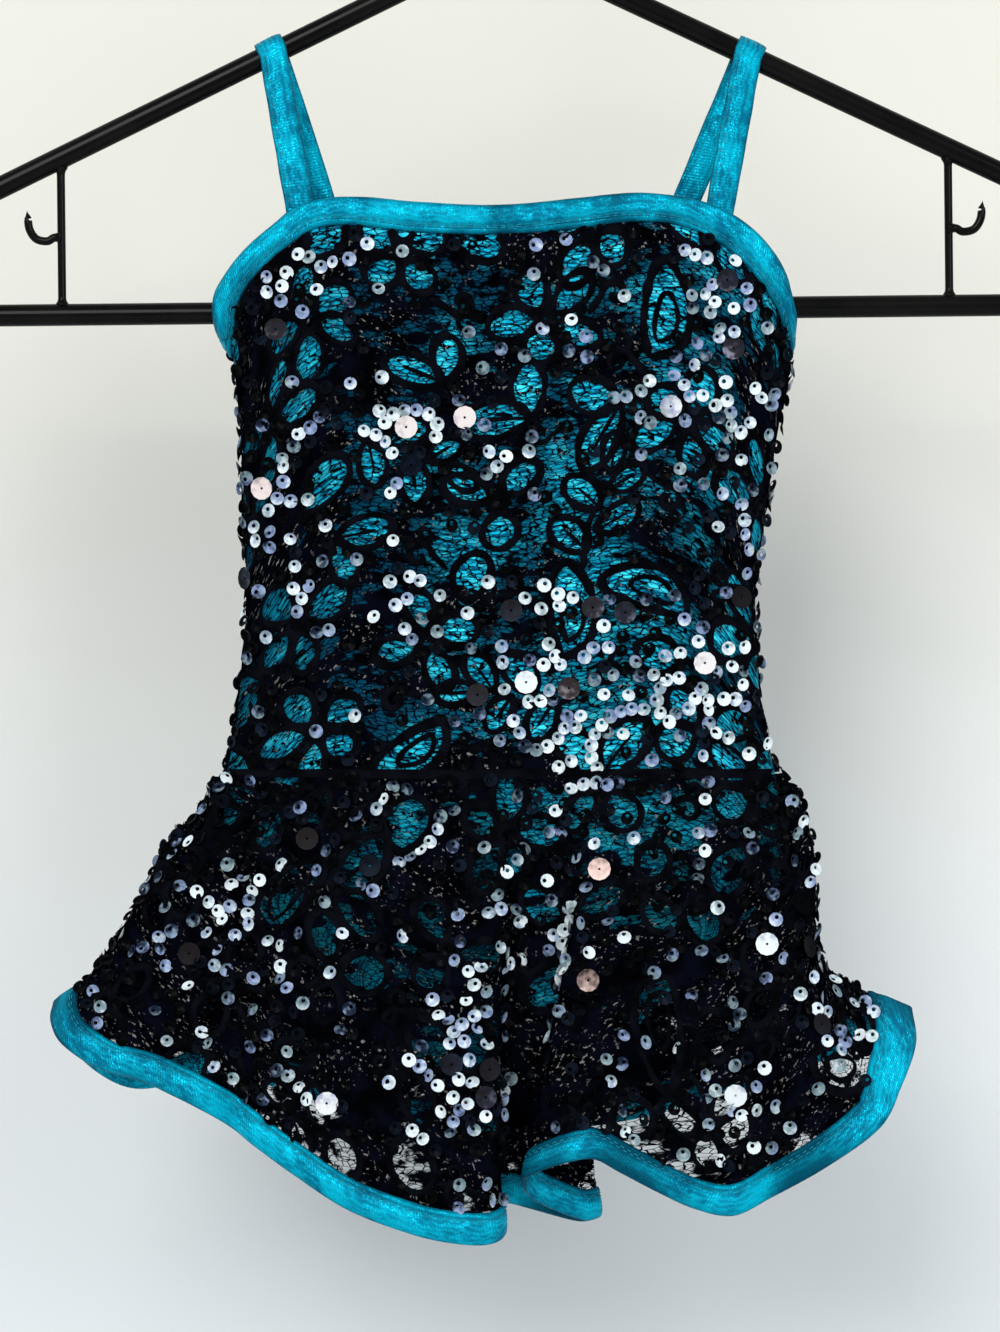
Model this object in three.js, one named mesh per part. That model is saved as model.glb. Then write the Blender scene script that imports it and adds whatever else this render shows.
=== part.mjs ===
// A child's lace dance dress with a leotard base, hanging from its metal hanger.
// Millimetres. +X is the right of someone who looks at the front, -Y is the front, +Z is up.
// The origin is the inside top of the hanger's hook. "drop" is a depth below it, so z = -drop.
import * as THREE from "three";
import { mergeVertices } from "three/addons/utils/BufferGeometryUtils.js";

// ---------- driving sizes ----------
const HANGER = {
  apexDrop: 70, // middle of the frame tube under the hook
  tube: 8,
  slope: 25.6, // of each arm, in degrees
  barDrop: 204.1,
  bend: 17, // radius of the rounded shoulder ends
  rod: 3, // drop rods and their small side hooks
  rodAt: 161,
  sideHookDrop: 176,
  tilt: 0.6, // it hangs with its left arm a little low, in degrees
};
const HOOK = {
  wire: 4.5,
  inside: 19, // radius of the inside of its turn
  starts: 200, // its tip and the end of its turn, in degrees from +X
  ends: -32,
  pull: 12, // how strongly it leaves the turn
  curveDrop: 42, // its S-curve, then its straight neck
  neckDrop: 54,
};
// Centre line of a small side hook: out from its drop rod and down from its weld.
const SIDE_HOOK = [
  { out: 0, down: 0 },
  { out: 1.0, down: 0.1 },
  { out: 3.4, down: 1.3 },
  { out: 7.4, down: 0.4 },
  { out: 9.8, down: -3.2 },
  { out: 10.4, down: -8 },
];
const TUBE_SIDES = 16;
const ROD_SIDES = 10;
const SIDE_HOOK_SIDES = 8;
const BEND_STEPS = 12;
const SIDE_HOOK_STEPS = 9;
const HOOK_STEPS = 30;
const CLOTH = {
  base: 1.2, // foil jersey of the leotard
  lace: 1.0,
  binding: 3.0, // folded jersey round the raw edges
  hem: 2.4,
  strap: 1.6,
};
const GAP = 0.3; // between sewn pieces
const HALF_GAP = GAP / 2;
const SEWN_BACK = 0.18; // how far a wall stops short of its seam, so that bent edges stay clear
const STRAP_INSET = 0.7; // from the leotard's inner face to the strap sewn inside it
const MERGE_WITHIN = 1e-4;
const BINDING_WIDTH = 10;
const STRAP_WIDTH = 10.4;
const WAIST_DROP = 372;
const CROTCH_DROP = 489;
const HIP_DROP = 414;
const UNDERARM_DROP = 213;
const ARMHOLE_HALF_DEPTH = 5.2; // the bar of the hanger keeps the armholes open
const ARMHOLE_CLOSES_FROM = 208;
const LEGS_FROM = 402; // the leg openings shape the sides below this drop
const SECTION_POWER = 0.8; // under 1 the flattened body is fuller than an ellipse
const CROWDING = 0.35; // how far columns crowd towards the side seams, where the body bends round

// Outline of the body from the front: the outer face of the lace, left and right.
const OUTLINE = [
  { drop: 160, left: -105.5, right: 107.5 },
  { drop: 196, left: -106.0, right: 108.0 },
  { drop: 204, left: -105.0, right: 108.0 },
  { drop: 212, left: -102.5, right: 107.0 },
  { drop: 220, left: -98.5, right: 106.5 },
  { drop: 228, left: -97.0, right: 105.6 },
  { drop: 241, left: -95.8, right: 103.0 },
  { drop: 256, left: -94.6, right: 100.4 },
  { drop: 280, left: -94.2, right: 97.0 },
  { drop: 300, left: -93.0, right: 93.9 },
  { drop: 316, left: -93.2, right: 93.5 },
  { drop: 330, left: -94.4, right: 94.6 },
  { drop: 345, left: -96.0, right: 95.4 },
  { drop: 358, left: -97.4, right: 97.2 },
  { drop: 372, left: -100.5, right: 101.0 },
  { drop: 386, left: -101.5, right: 102.5 },
  { drop: 402, left: -101.0, right: 103.0 },
  { drop: 414, left: -98.5, right: 101.0 },
  { drop: 430, left: -80.0, right: 84.0 },
  { drop: 450, left: -58.0, right: 63.0 },
  { drop: 470, left: -39.0, right: 44.0 },
  { drop: 482, left: -30.0, right: 35.0 },
  { drop: 489, left: -27.5, right: 32.5 },
];

// Half depth of the flattened body, to the inner face of the leotard.
const DEPTH = [
  { drop: 160, middle: 10.5, edge: 5.2 },
  { drop: 205, middle: 11.5, edge: 5.2 },
  { drop: 300, middle: 11.0, edge: 0.15 },
  { drop: 372, middle: 12.5, edge: 0.15 },
  { drop: 402, middle: 12.0, edge: 0.15 },
  { drop: 414, middle: 11.0, edge: 0.15 },
  { drop: 432, middle: 9.0, edge: 3.2 },
  { drop: 455, middle: 6.4, edge: 3.4 },
  { drop: 474, middle: 3.6, edge: 2.2 },
  { drop: 489, middle: 0.15, edge: 0.15 },
];

// Upper and lower edge of the binding round the front neckline and armholes.
const FRONT_TOP = [
  { outX: -102.5, outDrop: 213, inX: -98.5, inDrop: 220 },
  { outX: -104.6, outDrop: 208, inX: -98.6, inDrop: 211 },
  { outX: -105.2, outDrop: 201, inX: -97.4, inDrop: 203.5 },
  { outX: -102.4, outDrop: 193.5, inX: -93.4, inDrop: 195.6 },
  { outX: -97.6, outDrop: 186.6, inX: -88.6, inDrop: 189.6 },
  { outX: -91.4, outDrop: 180.2, inX: -83.2, inDrop: 184.2 },
  { outX: -83.4, outDrop: 173.4, inX: -76.2, inDrop: 179.0 },
  { outX: -76.0, outDrop: 167.8, inX: -69.8, inDrop: 175.0 },
  { outX: -65.2, outDrop: 164.7, inX: -62.0, inDrop: 173.2 },
  { outX: -52.0, outDrop: 164.2, inX: -51.0, inDrop: 173.6 },
  { outX: -30.0, outDrop: 166.4, inX: -30.5, inDrop: 176.0 },
  { outX: 0.0, outDrop: 167.1, inX: 0.0, inDrop: 176.6 },
  { outX: 28.8, outDrop: 164.8, inX: 28.0, inDrop: 174.6 },
  { outX: 51.5, outDrop: 162.6, inX: 49.3, inDrop: 172.0 },
  { outX: 68.8, outDrop: 164.4, inX: 64.0, inDrop: 173.0 },
  { outX: 82.8, outDrop: 168.8, inX: 76.4, inDrop: 177.4 },
  { outX: 94.0, outDrop: 176.2, inX: 86.4, inDrop: 183.8 },
  { outX: 101.8, outDrop: 185.0, inX: 94.0, inDrop: 191.4 },
  { outX: 106.0, outDrop: 193.6, inX: 99.2, inDrop: 199.0 },
  { outX: 107.6, outDrop: 202, inX: 103.4, inDrop: 206.6 },
  { outX: 107.6, outDrop: 208, inX: 105.6, inDrop: 213.0 },
  { outX: 107.0, outDrop: 213, inX: 106.5, inDrop: 220 },
];

// The back is cut a little lower and plainer.
const BACK_TOP = [
  { outX: -102.5, outDrop: 213, inX: -98.5, inDrop: 220 },
  { outX: -104.6, outDrop: 208, inX: -98.0, inDrop: 212 },
  { outX: -104.2, outDrop: 201.5, inX: -95.4, inDrop: 205 },
  { outX: -99.0, outDrop: 193, inX: -90.6, inDrop: 197.6 },
  { outX: -90.0, outDrop: 185, inX: -83.2, inDrop: 191.6 },
  { outX: -78.0, outDrop: 178, inX: -73.4, inDrop: 186.4 },
  { outX: -62.0, outDrop: 174, inX: -60.4, inDrop: 183.6 },
  { outX: -30.0, outDrop: 173, inX: -30.0, inDrop: 182.8 },
  { outX: 2.5, outDrop: 173, inX: 2.5, inDrop: 182.8 },
  { outX: 34.0, outDrop: 172.6, inX: 34.0, inDrop: 182.4 },
  { outX: 64.0, outDrop: 173, inX: 62.6, inDrop: 182.6 },
  { outX: 80.0, outDrop: 177, inX: 75.8, inDrop: 185.6 },
  { outX: 92.0, outDrop: 184, inX: 85.6, inDrop: 191 },
  { outX: 101.4, outDrop: 192, inX: 93.4, inDrop: 197.4 },
  { outX: 106.6, outDrop: 201, inX: 99.4, inDrop: 205 },
  { outX: 107.6, outDrop: 208, inX: 103.8, inDrop: 212 },
  { outX: 107.0, outDrop: 213, inX: 106.5, inDrop: 220 },
];

// Lower edge of the skirt, a row for each turn of its folds, left to right, and the place
// at the waist seam ("waist") from which the cloth falls to it.
const FRONT_HEM = [
  { waist: -101.5, x: -162.0, y: -0.15, drop: 455.5 },
  { waist: -98.5, x: -162.4, y: -5, drop: 462 },
  { waist: -93, x: -158.0, y: -10, drop: 469.5 },
  { waist: -86, x: -145.0, y: -15.5, drop: 477.5 },
  { waist: -78, x: -129.0, y: -19, drop: 481.8 },
  { waist: -70, x: -117.0, y: -24, drop: 486.6 },
  { waist: -63.5, x: -106.5, y: -26, drop: 491.6 },
  { waist: -57, x: -96.5, y: -22, drop: 498 },
  { waist: -51, x: -88.0, y: -27, drop: 504 },
  { waist: -42, x: -74.0, y: -28.5, drop: 514 },
  { waist: -32, x: -54.0, y: -28, drop: 527 },
  { waist: -21, x: -30.0, y: -31, drop: 535.6 },
  { waist: -11, x: -13.0, y: -34, drop: 538.4 },
  { waist: -4, x: -2.6, y: -31.6, drop: 538.4 },
  { waist: 0, x: 1.7, y: -25, drop: 535.6 },
  { waist: 3.5, x: -1.2, y: -17.6, drop: 530.6 },
  { waist: 7, x: -2.6, y: -10.4, drop: 527.4 },
  { waist: 10.5, x: 3.0, y: -5.6, drop: 527.4 },
  { waist: 15, x: 16.0, y: -5, drop: 531 },
  { waist: 19.5, x: 29.0, y: -6, drop: 534 },
  { waist: 23, x: 35.6, y: -10, drop: 532 },
  { waist: 26.5, x: 30.0, y: -14.4, drop: 532.4 },
  { waist: 31, x: 17.5, y: -18.4, drop: 527.4 },
  { waist: 35, x: 10.4, y: -23, drop: 522.6 },
  { waist: 38.5, x: 8.0, y: -29, drop: 516.6 },
  { waist: 42, x: 12.0, y: -34, drop: 513.4 },
  { waist: 46.5, x: 21.5, y: -37, drop: 509.6 },
  { waist: 52, x: 33.0, y: -36.6, drop: 507.8 },
  { waist: 57, x: 43.0, y: -34, drop: 513 },
  { waist: 62, x: 54.5, y: -30, drop: 519.6 },
  { waist: 67, x: 69.0, y: -25, drop: 526.8 },
  { waist: 71.5, x: 83.5, y: -21, drop: 529.9 },
  { waist: 77, x: 97.0, y: -24, drop: 523 },
  { waist: 84, x: 117.0, y: -27, drop: 511.4 },
  { waist: 90.5, x: 136.0, y: -23, drop: 498 },
  { waist: 95.5, x: 144.4, y: -16, drop: 483.6 },
  { waist: 99.5, x: 150.4, y: -8, drop: 469 },
  { waist: 102, x: 149.5, y: -0.15, drop: 457.5 },
];
const BACK_HEM = [
  { waist: -101.5, x: -162.0, y: 0.15, drop: 455.5 },
  { waist: -98, x: -159.5, y: 5.5, drop: 466 },
  { waist: -93, x: -151.6, y: 9, drop: 478 },
  { waist: -86, x: -139.0, y: 12, drop: 486.6 },
  { waist: -79, x: -127.0, y: 13.5, drop: 487.8 },
  { waist: -70, x: -114.0, y: 12, drop: 483 },
  { waist: -58, x: -94.0, y: 8.5, drop: 484 },
  { waist: -44, x: -70.0, y: 16, drop: 492 },
  { waist: -30, x: -47.0, y: 9.5, drop: 500 },
  { waist: -14, x: -22.0, y: 17.5, drop: 504 },
  { waist: 3, x: 3.0, y: 10.5, drop: 505 },
  { waist: 20, x: 28.0, y: 17.5, drop: 503 },
  { waist: 37, x: 53.0, y: 10.5, drop: 498 },
  { waist: 54, x: 78.0, y: 17, drop: 491 },
  { waist: 69, x: 100.0, y: 11, drop: 485 },
  { waist: 83, x: 121.0, y: 15.5, drop: 477 },
  { waist: 93, x: 137.0, y: 11, drop: 470 },
  { waist: 99, x: 146.5, y: 6, drop: 462 },
  { waist: 102, x: 149.5, y: 0.15, drop: 457.5 },
];

// The skirt's side seams, which swing out to the hem.
const SKIRT_LEFT = [
  { x: -101.5, drop: 372.3 },
  { x: -105.0, drop: 378 },
  { x: -112.0, drop: 388.5 },
  { x: -122.0, drop: 400 },
  { x: -129.5, drop: 415 },
  { x: -137.0, drop: 428.5 },
  { x: -143.5, drop: 439.5 },
  { x: -150.5, drop: 447 },
  { x: -162.0, drop: 455.5 },
];
const SKIRT_RIGHT = [
  { x: 102.0, drop: 372.3 },
  { x: 108.0, drop: 380 },
  { x: 112.0, drop: 391 },
  { x: 114.0, drop: 404 },
  { x: 114.4, drop: 418 },
  { x: 114.6, drop: 431 },
  { x: 119.0, drop: 442.5 },
  { x: 131.5, drop: 450.5 },
  { x: 149.5, drop: 457.5 },
];
const SIDE_SWING = 15; // how far from a side seam, at the waist, its swing is felt
const SKIRT_HALF_DEPTH = 15.9;

// Each strap: where its front and back legs meet the neckline, and where it lies on the arm.
const STRAP_BACK_DROP = 181.5;
const STRAPS = [
  { name: "strap_left", side: -1, front: -71.3, frontDrop: 173.5, arm: -83.4, back: -59.4 },
  { name: "strap_right", side: 1, front: 78.0, frontDrop: 175.5, arm: 88.6, back: 60.5 },
];

// ---------- finishes ----------
const finish = (color, roughness, metalness) => (
  new THREE.MeshStandardMaterial({ color, roughness, metalness })
);
const FOIL = finish(0x0a9fb8, 0.35, 0.45);
const BINDING = finish(0x0e9bb3, 0.55, 0.15);
const LACE = finish(0x06070a, 0.8, 0.0);
const PAINTED_STEEL = finish(0x0b0b0c, 0.35, 0.4);

// ---------- curves through the tables ----------
const lerp = (a, b, t) => a + (b - a) * t;
const clamp = (value, low, high) => Math.min(high, Math.max(low, value));

function hermite(p0, p1, m0, m1, t) {
  const t2 = t * t;
  const t3 = t2 * t;
  return (2 * t3 - 3 * t2 + 1) * p0 + (t3 - 2 * t2 + t) * m0 + (3 * t2 - 2 * t3) * p1 + (t3 - t2) * m1;
}

// One column of a table as a smooth function of another column, which must rise.
function smooth(rows, from, to) {
  const slope = (i) => {
    const a = rows[Math.max(i - 1, 0)];
    const b = rows[Math.min(i + 1, rows.length - 1)];
    return (b[to] - a[to]) / (b[from] - a[from]);
  };
  return (value) => {
    const at = clamp(value, rows[0][from], rows[rows.length - 1][from]);
    let i = 0;
    while (i < rows.length - 2 && rows[i + 1][from] < at) i += 1;
    const span = rows[i + 1][from] - rows[i][from];
    const t = (at - rows[i][from]) / span;
    return hermite(rows[i][to], rows[i + 1][to], slope(i) * span, slope(i + 1) * span, t);
  };
}

// A table as a smooth path: s runs from 0 at the first row to 1 at the last.
function path(rows) {
  const counted = rows.map((row, index) => ({ ...row, index }));
  const columns = Object.keys(rows[0]).map((key) => [key, smooth(counted, "index", key)]);
  return (s) => Object.fromEntries(columns.map(([key, value]) => [key, value(s * (rows.length - 1))]));
}

// ---------- the flattened body ----------
const outlineLeft = smooth(OUTLINE, "drop", "left");
const outlineRight = smooth(OUTLINE, "drop", "right");
const middleDepth = smooth(DEPTH, "drop", "middle");
const legDepth = smooth(DEPTH.filter((row) => row.drop >= LEGS_FROM), "drop", "edge");
const LAYERS = CLOTH.base + GAP + CLOTH.lace; // from the leotard's inner face to the outline

const centre = (drop) => (outlineLeft(drop) + outlineRight(drop)) / 2;
const halfWidth = (drop) => (outlineRight(drop) - outlineLeft(drop)) / 2 - LAYERS;

function edgeDepth(drop) {
  if (drop <= ARMHOLE_CLOSES_FROM) return ARMHOLE_HALF_DEPTH;
  if (drop >= HIP_DROP) return Math.max(legDepth(drop), HALF_GAP);
  const closing = (drop - ARMHOLE_CLOSES_FROM) / (UNDERARM_DROP - ARMHOLE_CLOSES_FROM);
  if (closing >= 1) return HALF_GAP;
  return Math.max(ARMHOLE_HALF_DEPTH * Math.sqrt(1 - closing * closing), HALF_GAP);
}

// A point of the leotard's inner face: angle 0 is the left side seam and PI the right one.
function bodyPoint(angle, drop, face) {
  const edge = edgeDepth(drop);
  const fullness = Math.max(Math.sin(clamp(angle, 0, Math.PI)), 0) ** SECTION_POWER;
  const depth = edge + Math.max(middleDepth(drop) - edge, 0) * fullness;
  return new THREE.Vector3(centre(drop) - halfWidth(drop) * Math.cos(angle), face * depth, -drop);
}
const angleOf = (x, drop) => Math.acos(clamp((centre(drop) - x) / (halfWidth(drop) + LAYERS), -1, 1));

// ---------- walls ----------
// A surface is a function of u, from 0 at its left edge to 1 at its right one, and of a row
// number. Its normal at a point comes from the points half a cell away on each side.
function normalOf(surface, u, row, columns) {
  const { at, first, last } = surface;
  const half = 0.5 / columns;
  const along = at(Math.min(u + half, 1), row).sub(at(Math.max(u - half, 0), row));
  const down = at(u, Math.min(row + 0.5, last)).sub(at(u, Math.max(row - 0.5, first)));
  return along.cross(down).normalize();
}

// A closed wall over rows "from" to "to" of a surface, between two offsets along its normals.
// It stops short by half a gap where it is sewn to the wall that covers the next rows.
function wall(surface, columns, [from, to], faces, adjust = (point) => point) {
  const positions = [];
  const index = [];
  const rows = to - from;
  const stride = rows + 1;
  const layer = (columns + 1) * stride;
  const place = (u, row) => {
    const point = surface.at(u, row);
    const sewn = (row === from && from > surface.first) || (row === to && to < surface.last);
    if (!sewn) return point;
    const inner = surface.at(u, row === from ? row + 1 : row - 1).sub(point);
    return point.addScaledVector(inner.normalize(), SEWN_BACK);
  };
  for (const offset of faces) {
    for (let i = 0; i <= columns; i += 1) {
      for (let j = 0; j <= rows; j += 1) {
        const u = i / columns;
        const normal = normalOf(surface, u, from + j, columns);
        const point = place(u, from + j).addScaledVector(normal, offset);
        positions.push(...adjust(point, u).toArray());
      }
    }
  }
  const quad = (a, b, c, d) => index.push(a, b, c, a, c, d);
  for (let i = 0; i < columns; i += 1) {
    for (let j = 0; j < rows; j += 1) {
      const a = i * stride + j;
      quad(a, a + 1, a + stride + 1, a + stride);
      quad(layer + a, layer + a + stride, layer + a + stride + 1, layer + a + 1);
    }
  }
  for (let i = 0; i < columns; i += 1) {
    const top = i * stride;
    const bottom = top + rows;
    quad(top, top + stride, layer + top + stride, layer + top);
    quad(bottom, layer + bottom, layer + bottom + stride, bottom + stride);
  }
  for (let j = 0; j < rows; j += 1) {
    const left = j;
    const right = columns * stride + j;
    quad(left, layer + left, layer + left + 1, left + 1);
    quad(right, right + 1, layer + right + 1, layer + right);
  }
  const geometry = new THREE.BufferGeometry();
  geometry.setAttribute("position", new THREE.Float32BufferAttribute(positions, 3));
  geometry.setIndex(index);
  return facingOut(geometry);
}

function facingOut(geometry) {
  const p = geometry.getAttribute("position");
  const corner = [0, 1, 2].map(() => new THREE.Vector3());
  const index = geometry.getIndex().array;
  let volume = 0;
  for (let i = 0; i < index.length; i += 3) {
    corner.forEach((vertex, k) => vertex.fromBufferAttribute(p, index[i + k]));
    volume += corner[0].dot(corner[1].clone().cross(corner[2])) / 6;
  }
  if (volume < 0) {
    for (let i = 0; i < index.length; i += 3) {
      [index[i + 1], index[i + 2]] = [index[i + 2], index[i + 1]];
    }
  }
  return geometry;
}

function closed(geometry) {
  geometry.deleteAttribute("normal");
  geometry.deleteAttribute("uv");
  return facingOut(mergeVertices(geometry, MERGE_WITHIN));
}

function mesh(name, geometry, material) {
  geometry.computeVertexNormals();
  const made = new THREE.Mesh(geometry, material.clone());
  made.name = name;
  return made;
}

// Keeps the two sides of a side seam their gap apart.
const seamKept = (face) => (point, u) => {
  if (u === 0 || u === 1) point.y = face * Math.max(point.y * face, HALF_GAP);
  return point;
};

// ---------- leotard, its lace overlay and the binding round the top ----------
const BODY_COLUMNS = 30;
const BODICE_ROWS = 10;
const BRIEF_ROWS = 7;

const crowded = (u) => lerp(u, 0.5 - 0.5 * Math.cos(Math.PI * u), CROWDING);

function bodyPanels(side, face, rows) {
  const edge = rows.map((row) => ({
    outAngle: angleOf(row.outX, row.outDrop),
    outDrop: row.outDrop,
    inAngle: angleOf(row.inX, row.inDrop),
    inDrop: row.inDrop,
  }));
  const [outAngle, outDrop, inDrop] = ["outAngle", "outDrop", "inDrop"].map((key) => (
    smooth(edge, "inAngle", key)
  ));
  // row -1 is the folded edge of the binding, 0 its seam, then the waist and the crotch
  const at = (u, row) => {
    const angle = Math.PI * crowded(u);
    const seam = inDrop(angle);
    if (row < 0) {
      return bodyPoint(lerp(angle, outAngle(angle), -row), lerp(seam, outDrop(angle), -row), face);
    }
    const bodice = lerp(seam, WAIST_DROP, Math.min(row / BODICE_ROWS, 1));
    const brief = Math.max(row - BODICE_ROWS, 0) / BRIEF_ROWS;
    return bodyPoint(angle, lerp(bodice, CROTCH_DROP, brief), face);
  };
  const panel = { at, first: -1, last: BODICE_ROWS + BRIEF_ROWS };
  const out = (...offsets) => offsets.map((offset) => face * offset); // the normals point to the back
  const part = (name, span, faces, material) => (
    mesh(`${name}_${side}`, wall(panel, BODY_COLUMNS, span, faces, seamKept(face)), material)
  );
  return [
    part("leotard", [0, panel.last], out(0, CLOTH.base), FOIL),
    part("bodice", [0, BODICE_ROWS], out(CLOTH.base + GAP, LAYERS), LACE),
    part("top_binding", [-1, 0], out(0, CLOTH.binding), BINDING),
  ];
}

// ---------- skirt ----------
const SKIRT_ROWS = 8;
const sideLeft = path(SKIRT_LEFT);
const sideRight = path(SKIRT_RIGHT);

// v runs from 0 at the waist seam to 1 at the hem.
function skirtPoint(rows, face) {
  const hem = path(rows);
  const first = rows[0];
  const last = rows[rows.length - 1];
  const middle = (first.waist + last.waist) / 2;
  const half = (last.waist - first.waist) / 2;
  const seamDrop = WAIST_DROP + GAP;
  const swing = (distance) => Math.exp(-((distance / SIDE_SWING) ** 2));
  return (u, v) => {
    const at = hem(u);
    const angle = Math.acos(clamp((middle - at.waist) / half, -1, 1));
    const depth = lerp(HALF_GAP, SKIRT_HALF_DEPTH, Math.sin(angle) ** SECTION_POWER);
    const point = new THREE.Vector3(at.waist, face * depth, -seamDrop);
    point.lerp(new THREE.Vector3(at.x, at.y, -at.drop), v);
    for (const [seam, corner] of [[sideLeft, first], [sideRight, last]]) {
      const share = swing(at.waist - corner.waist);
      point.x += share * (seam(v).x - lerp(corner.waist, corner.x, v));
      point.z -= share * (seam(v).drop - lerp(seamDrop, corner.drop, v));
    }
    return point;
  };
}

function skirtPanels(side, face, rows) {
  const point = skirtPoint(rows, face);
  const columns = 2 * (rows.length - 1);
  // the last row is the binding, a fixed width however long the cloth is above it
  const at = (u, row) => {
    const seam = 1 - BINDING_WIDTH / point(u, 0).distanceTo(point(u, 1));
    if (row <= SKIRT_ROWS) return point(u, (seam * row) / SKIRT_ROWS);
    return point(u, lerp(seam, 1, row - SKIRT_ROWS));
  };
  const panel = { at, first: 0, last: SKIRT_ROWS + 1 };
  const part = (name, span, thickness, material) => {
    const faces = [-thickness / 2, thickness / 2];
    return mesh(`${name}_${side}`, wall(panel, columns, span, faces, seamKept(face)), material);
  };
  return [
    part("skirt", [0, SKIRT_ROWS], CLOTH.lace, LACE),
    part("hem_binding", [SKIRT_ROWS, panel.last], CLOTH.hem, BINDING),
  ];
}

// ---------- hanger ----------
const radians = THREE.MathUtils.degToRad;
const slope = radians(HANGER.slope);
const tilt = radians(HANGER.tilt);
const cornerAt = (HANGER.barDrop - HANGER.apexDrop) / Math.tan(slope); // where arm and bar would meet
const tangent = HANGER.bend / Math.tan(slope / 2);
const barHalf = cornerAt - tangent;

class Route extends THREE.Curve {
  constructor(place) {
    super();
    this.place = place;
  }
  getPoint(t, target = new THREE.Vector3()) {
    return target.copy(this.place(t));
  }
}

function rod(diameter, sides, steps, place) {
  const section = new THREE.Shape();
  for (let i = 0; i < sides; i += 1) {
    const angle = (2 * Math.PI * i) / sides;
    const point = [(diameter / 2) * Math.cos(angle), (diameter / 2) * Math.sin(angle)];
    if (i === 0) section.moveTo(...point);
    else section.lineTo(...point);
  }
  section.closePath();
  const along = { steps, extrudePath: new Route(place), bevelEnabled: false };
  return closed(new THREE.ExtrudeGeometry(section, along));
}

const straightRod = (diameter, sides, from, to) => (
  rod(diameter, sides, 1, (t) => from.clone().lerp(to, t))
);
const flat = (x, drop) => new THREE.Vector3(x, 0, -drop);
const armDrop = (x) => HANGER.apexDrop + Math.abs(x) * Math.tan(slope);

// The two arms meet at the middle in an upright plane: the vertices of an arm's first end
// slide along it to that plane.
const MITRE_ROOM = 4;
function mitred(geometry, sign) {
  const p = geometry.getAttribute("position");
  for (let i = 0; i < p.count; i += 1) {
    if (p.getX(i) * sign > 2 * MITRE_ROOM) continue;
    const slide = p.getX(i) - sign * HALF_GAP;
    p.setX(i, sign * HALF_GAP);
    p.setZ(i, p.getZ(i) + Math.abs(slide) * Math.tan(slope) * Math.sign(slide * sign));
  }
  return geometry;
}

function hangerParts() {
  const group = new THREE.Group();
  group.rotation.y = -tilt;
  const add = (name, geometry) => group.add(mesh(name, geometry, PAINTED_STEEL));
  for (const [side, sign] of [["left", -1], ["right", 1]]) {
    const armEnd = cornerAt - tangent * Math.cos(slope);
    const armFrom = flat(sign * MITRE_ROOM, armDrop(MITRE_ROOM));
    const armTo = flat(sign * armEnd, armDrop(armEnd));
    add(`arm_${side}`, mitred(straightRod(HANGER.tube, TUBE_SIDES, armFrom, armTo), sign));
    const turn = Math.PI - slope;
    const gapTurn = GAP / HANGER.bend;
    const bendPlace = (t) => {
      const angle = -Math.PI / 2 + lerp(gapTurn, turn - gapTurn, t);
      const x = barHalf + HANGER.bend * Math.cos(angle);
      return flat(sign * x, HANGER.barDrop - HANGER.bend - HANGER.bend * Math.sin(angle));
    };
    add(`bend_${side}`, rod(HANGER.tube, TUBE_SIDES, BEND_STEPS, bendPlace));
    const rodX = sign * HANGER.rodAt;
    const underArm = armDrop(rodX + sign * HANGER.rod / 2) + HANGER.tube / 2 / Math.cos(slope) + GAP;
    const overBar = HANGER.barDrop - HANGER.tube / 2 - GAP;
    const dropRod = straightRod(HANGER.rod, ROD_SIDES, flat(rodX, underArm), flat(rodX, overBar));
    add(`drop_rod_${side}`, dropRod);
    const weld = rodX + sign * (HANGER.rod / 2 + GAP);
    const hookRoute = new THREE.CatmullRomCurve3(SIDE_HOOK.map(({ out, down }) => (
      flat(weld + sign * out, HANGER.sideHookDrop + down)
    )));
    const sideHook = rod(HANGER.rod, SIDE_HOOK_SIDES, SIDE_HOOK_STEPS, (t) => hookRoute.getPoint(t));
    add(`side_hook_${side}`, sideHook);
  }
  const barEnds = [flat(-barHalf, HANGER.barDrop), flat(barHalf, HANGER.barDrop)];
  add("bar", straightRod(HANGER.tube, TUBE_SIDES, ...barEnds));
  add("hook", rod(HOOK.wire, ROD_SIDES, HOOK_STEPS, hookPlace()));
  return group;
}

// The top hook: most of a circle, then an S down to the middle of the frame.
function hookPlace() {
  const radius = HOOK.inside + HOOK.wire / 2;
  const turnEnd = radians(HOOK.ends);
  const around = new THREE.Curve();
  around.getPoint = (t) => {
    const angle = lerp(radians(HOOK.starts), turnEnd, t);
    return flat(radius * Math.cos(angle), HOOK.inside - radius * Math.sin(angle));
  };
  const leave = around.getPoint(1);
  const way = new THREE.Vector3(Math.sin(turnEnd), 0, -Math.cos(turnEnd));
  const pulled = leave.clone().addScaledVector(way, HOOK.pull);
  const neck = flat(0, HOOK.neckDrop);
  const foot = flat(0, HANGER.apexDrop - HANGER.tube / 2 / Math.cos(slope) - GAP);
  const whole = new THREE.CurvePath();
  whole.add(around);
  whole.add(new THREE.CubicBezierCurve3(leave, pulled, flat(0, HOOK.curveDrop), neck));
  whole.add(new THREE.LineCurve3(neck, foot));
  return (t) => whole.getPoint(t);
}

// ---------- straps ----------
const STRAP_ROWS = 16;
const STRAP_LEG_ROWS = 3; // in each leg, the rest lie round the arm

const TILT_AXIS = new THREE.Vector3(0, 1, 0); // from front to back

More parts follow.
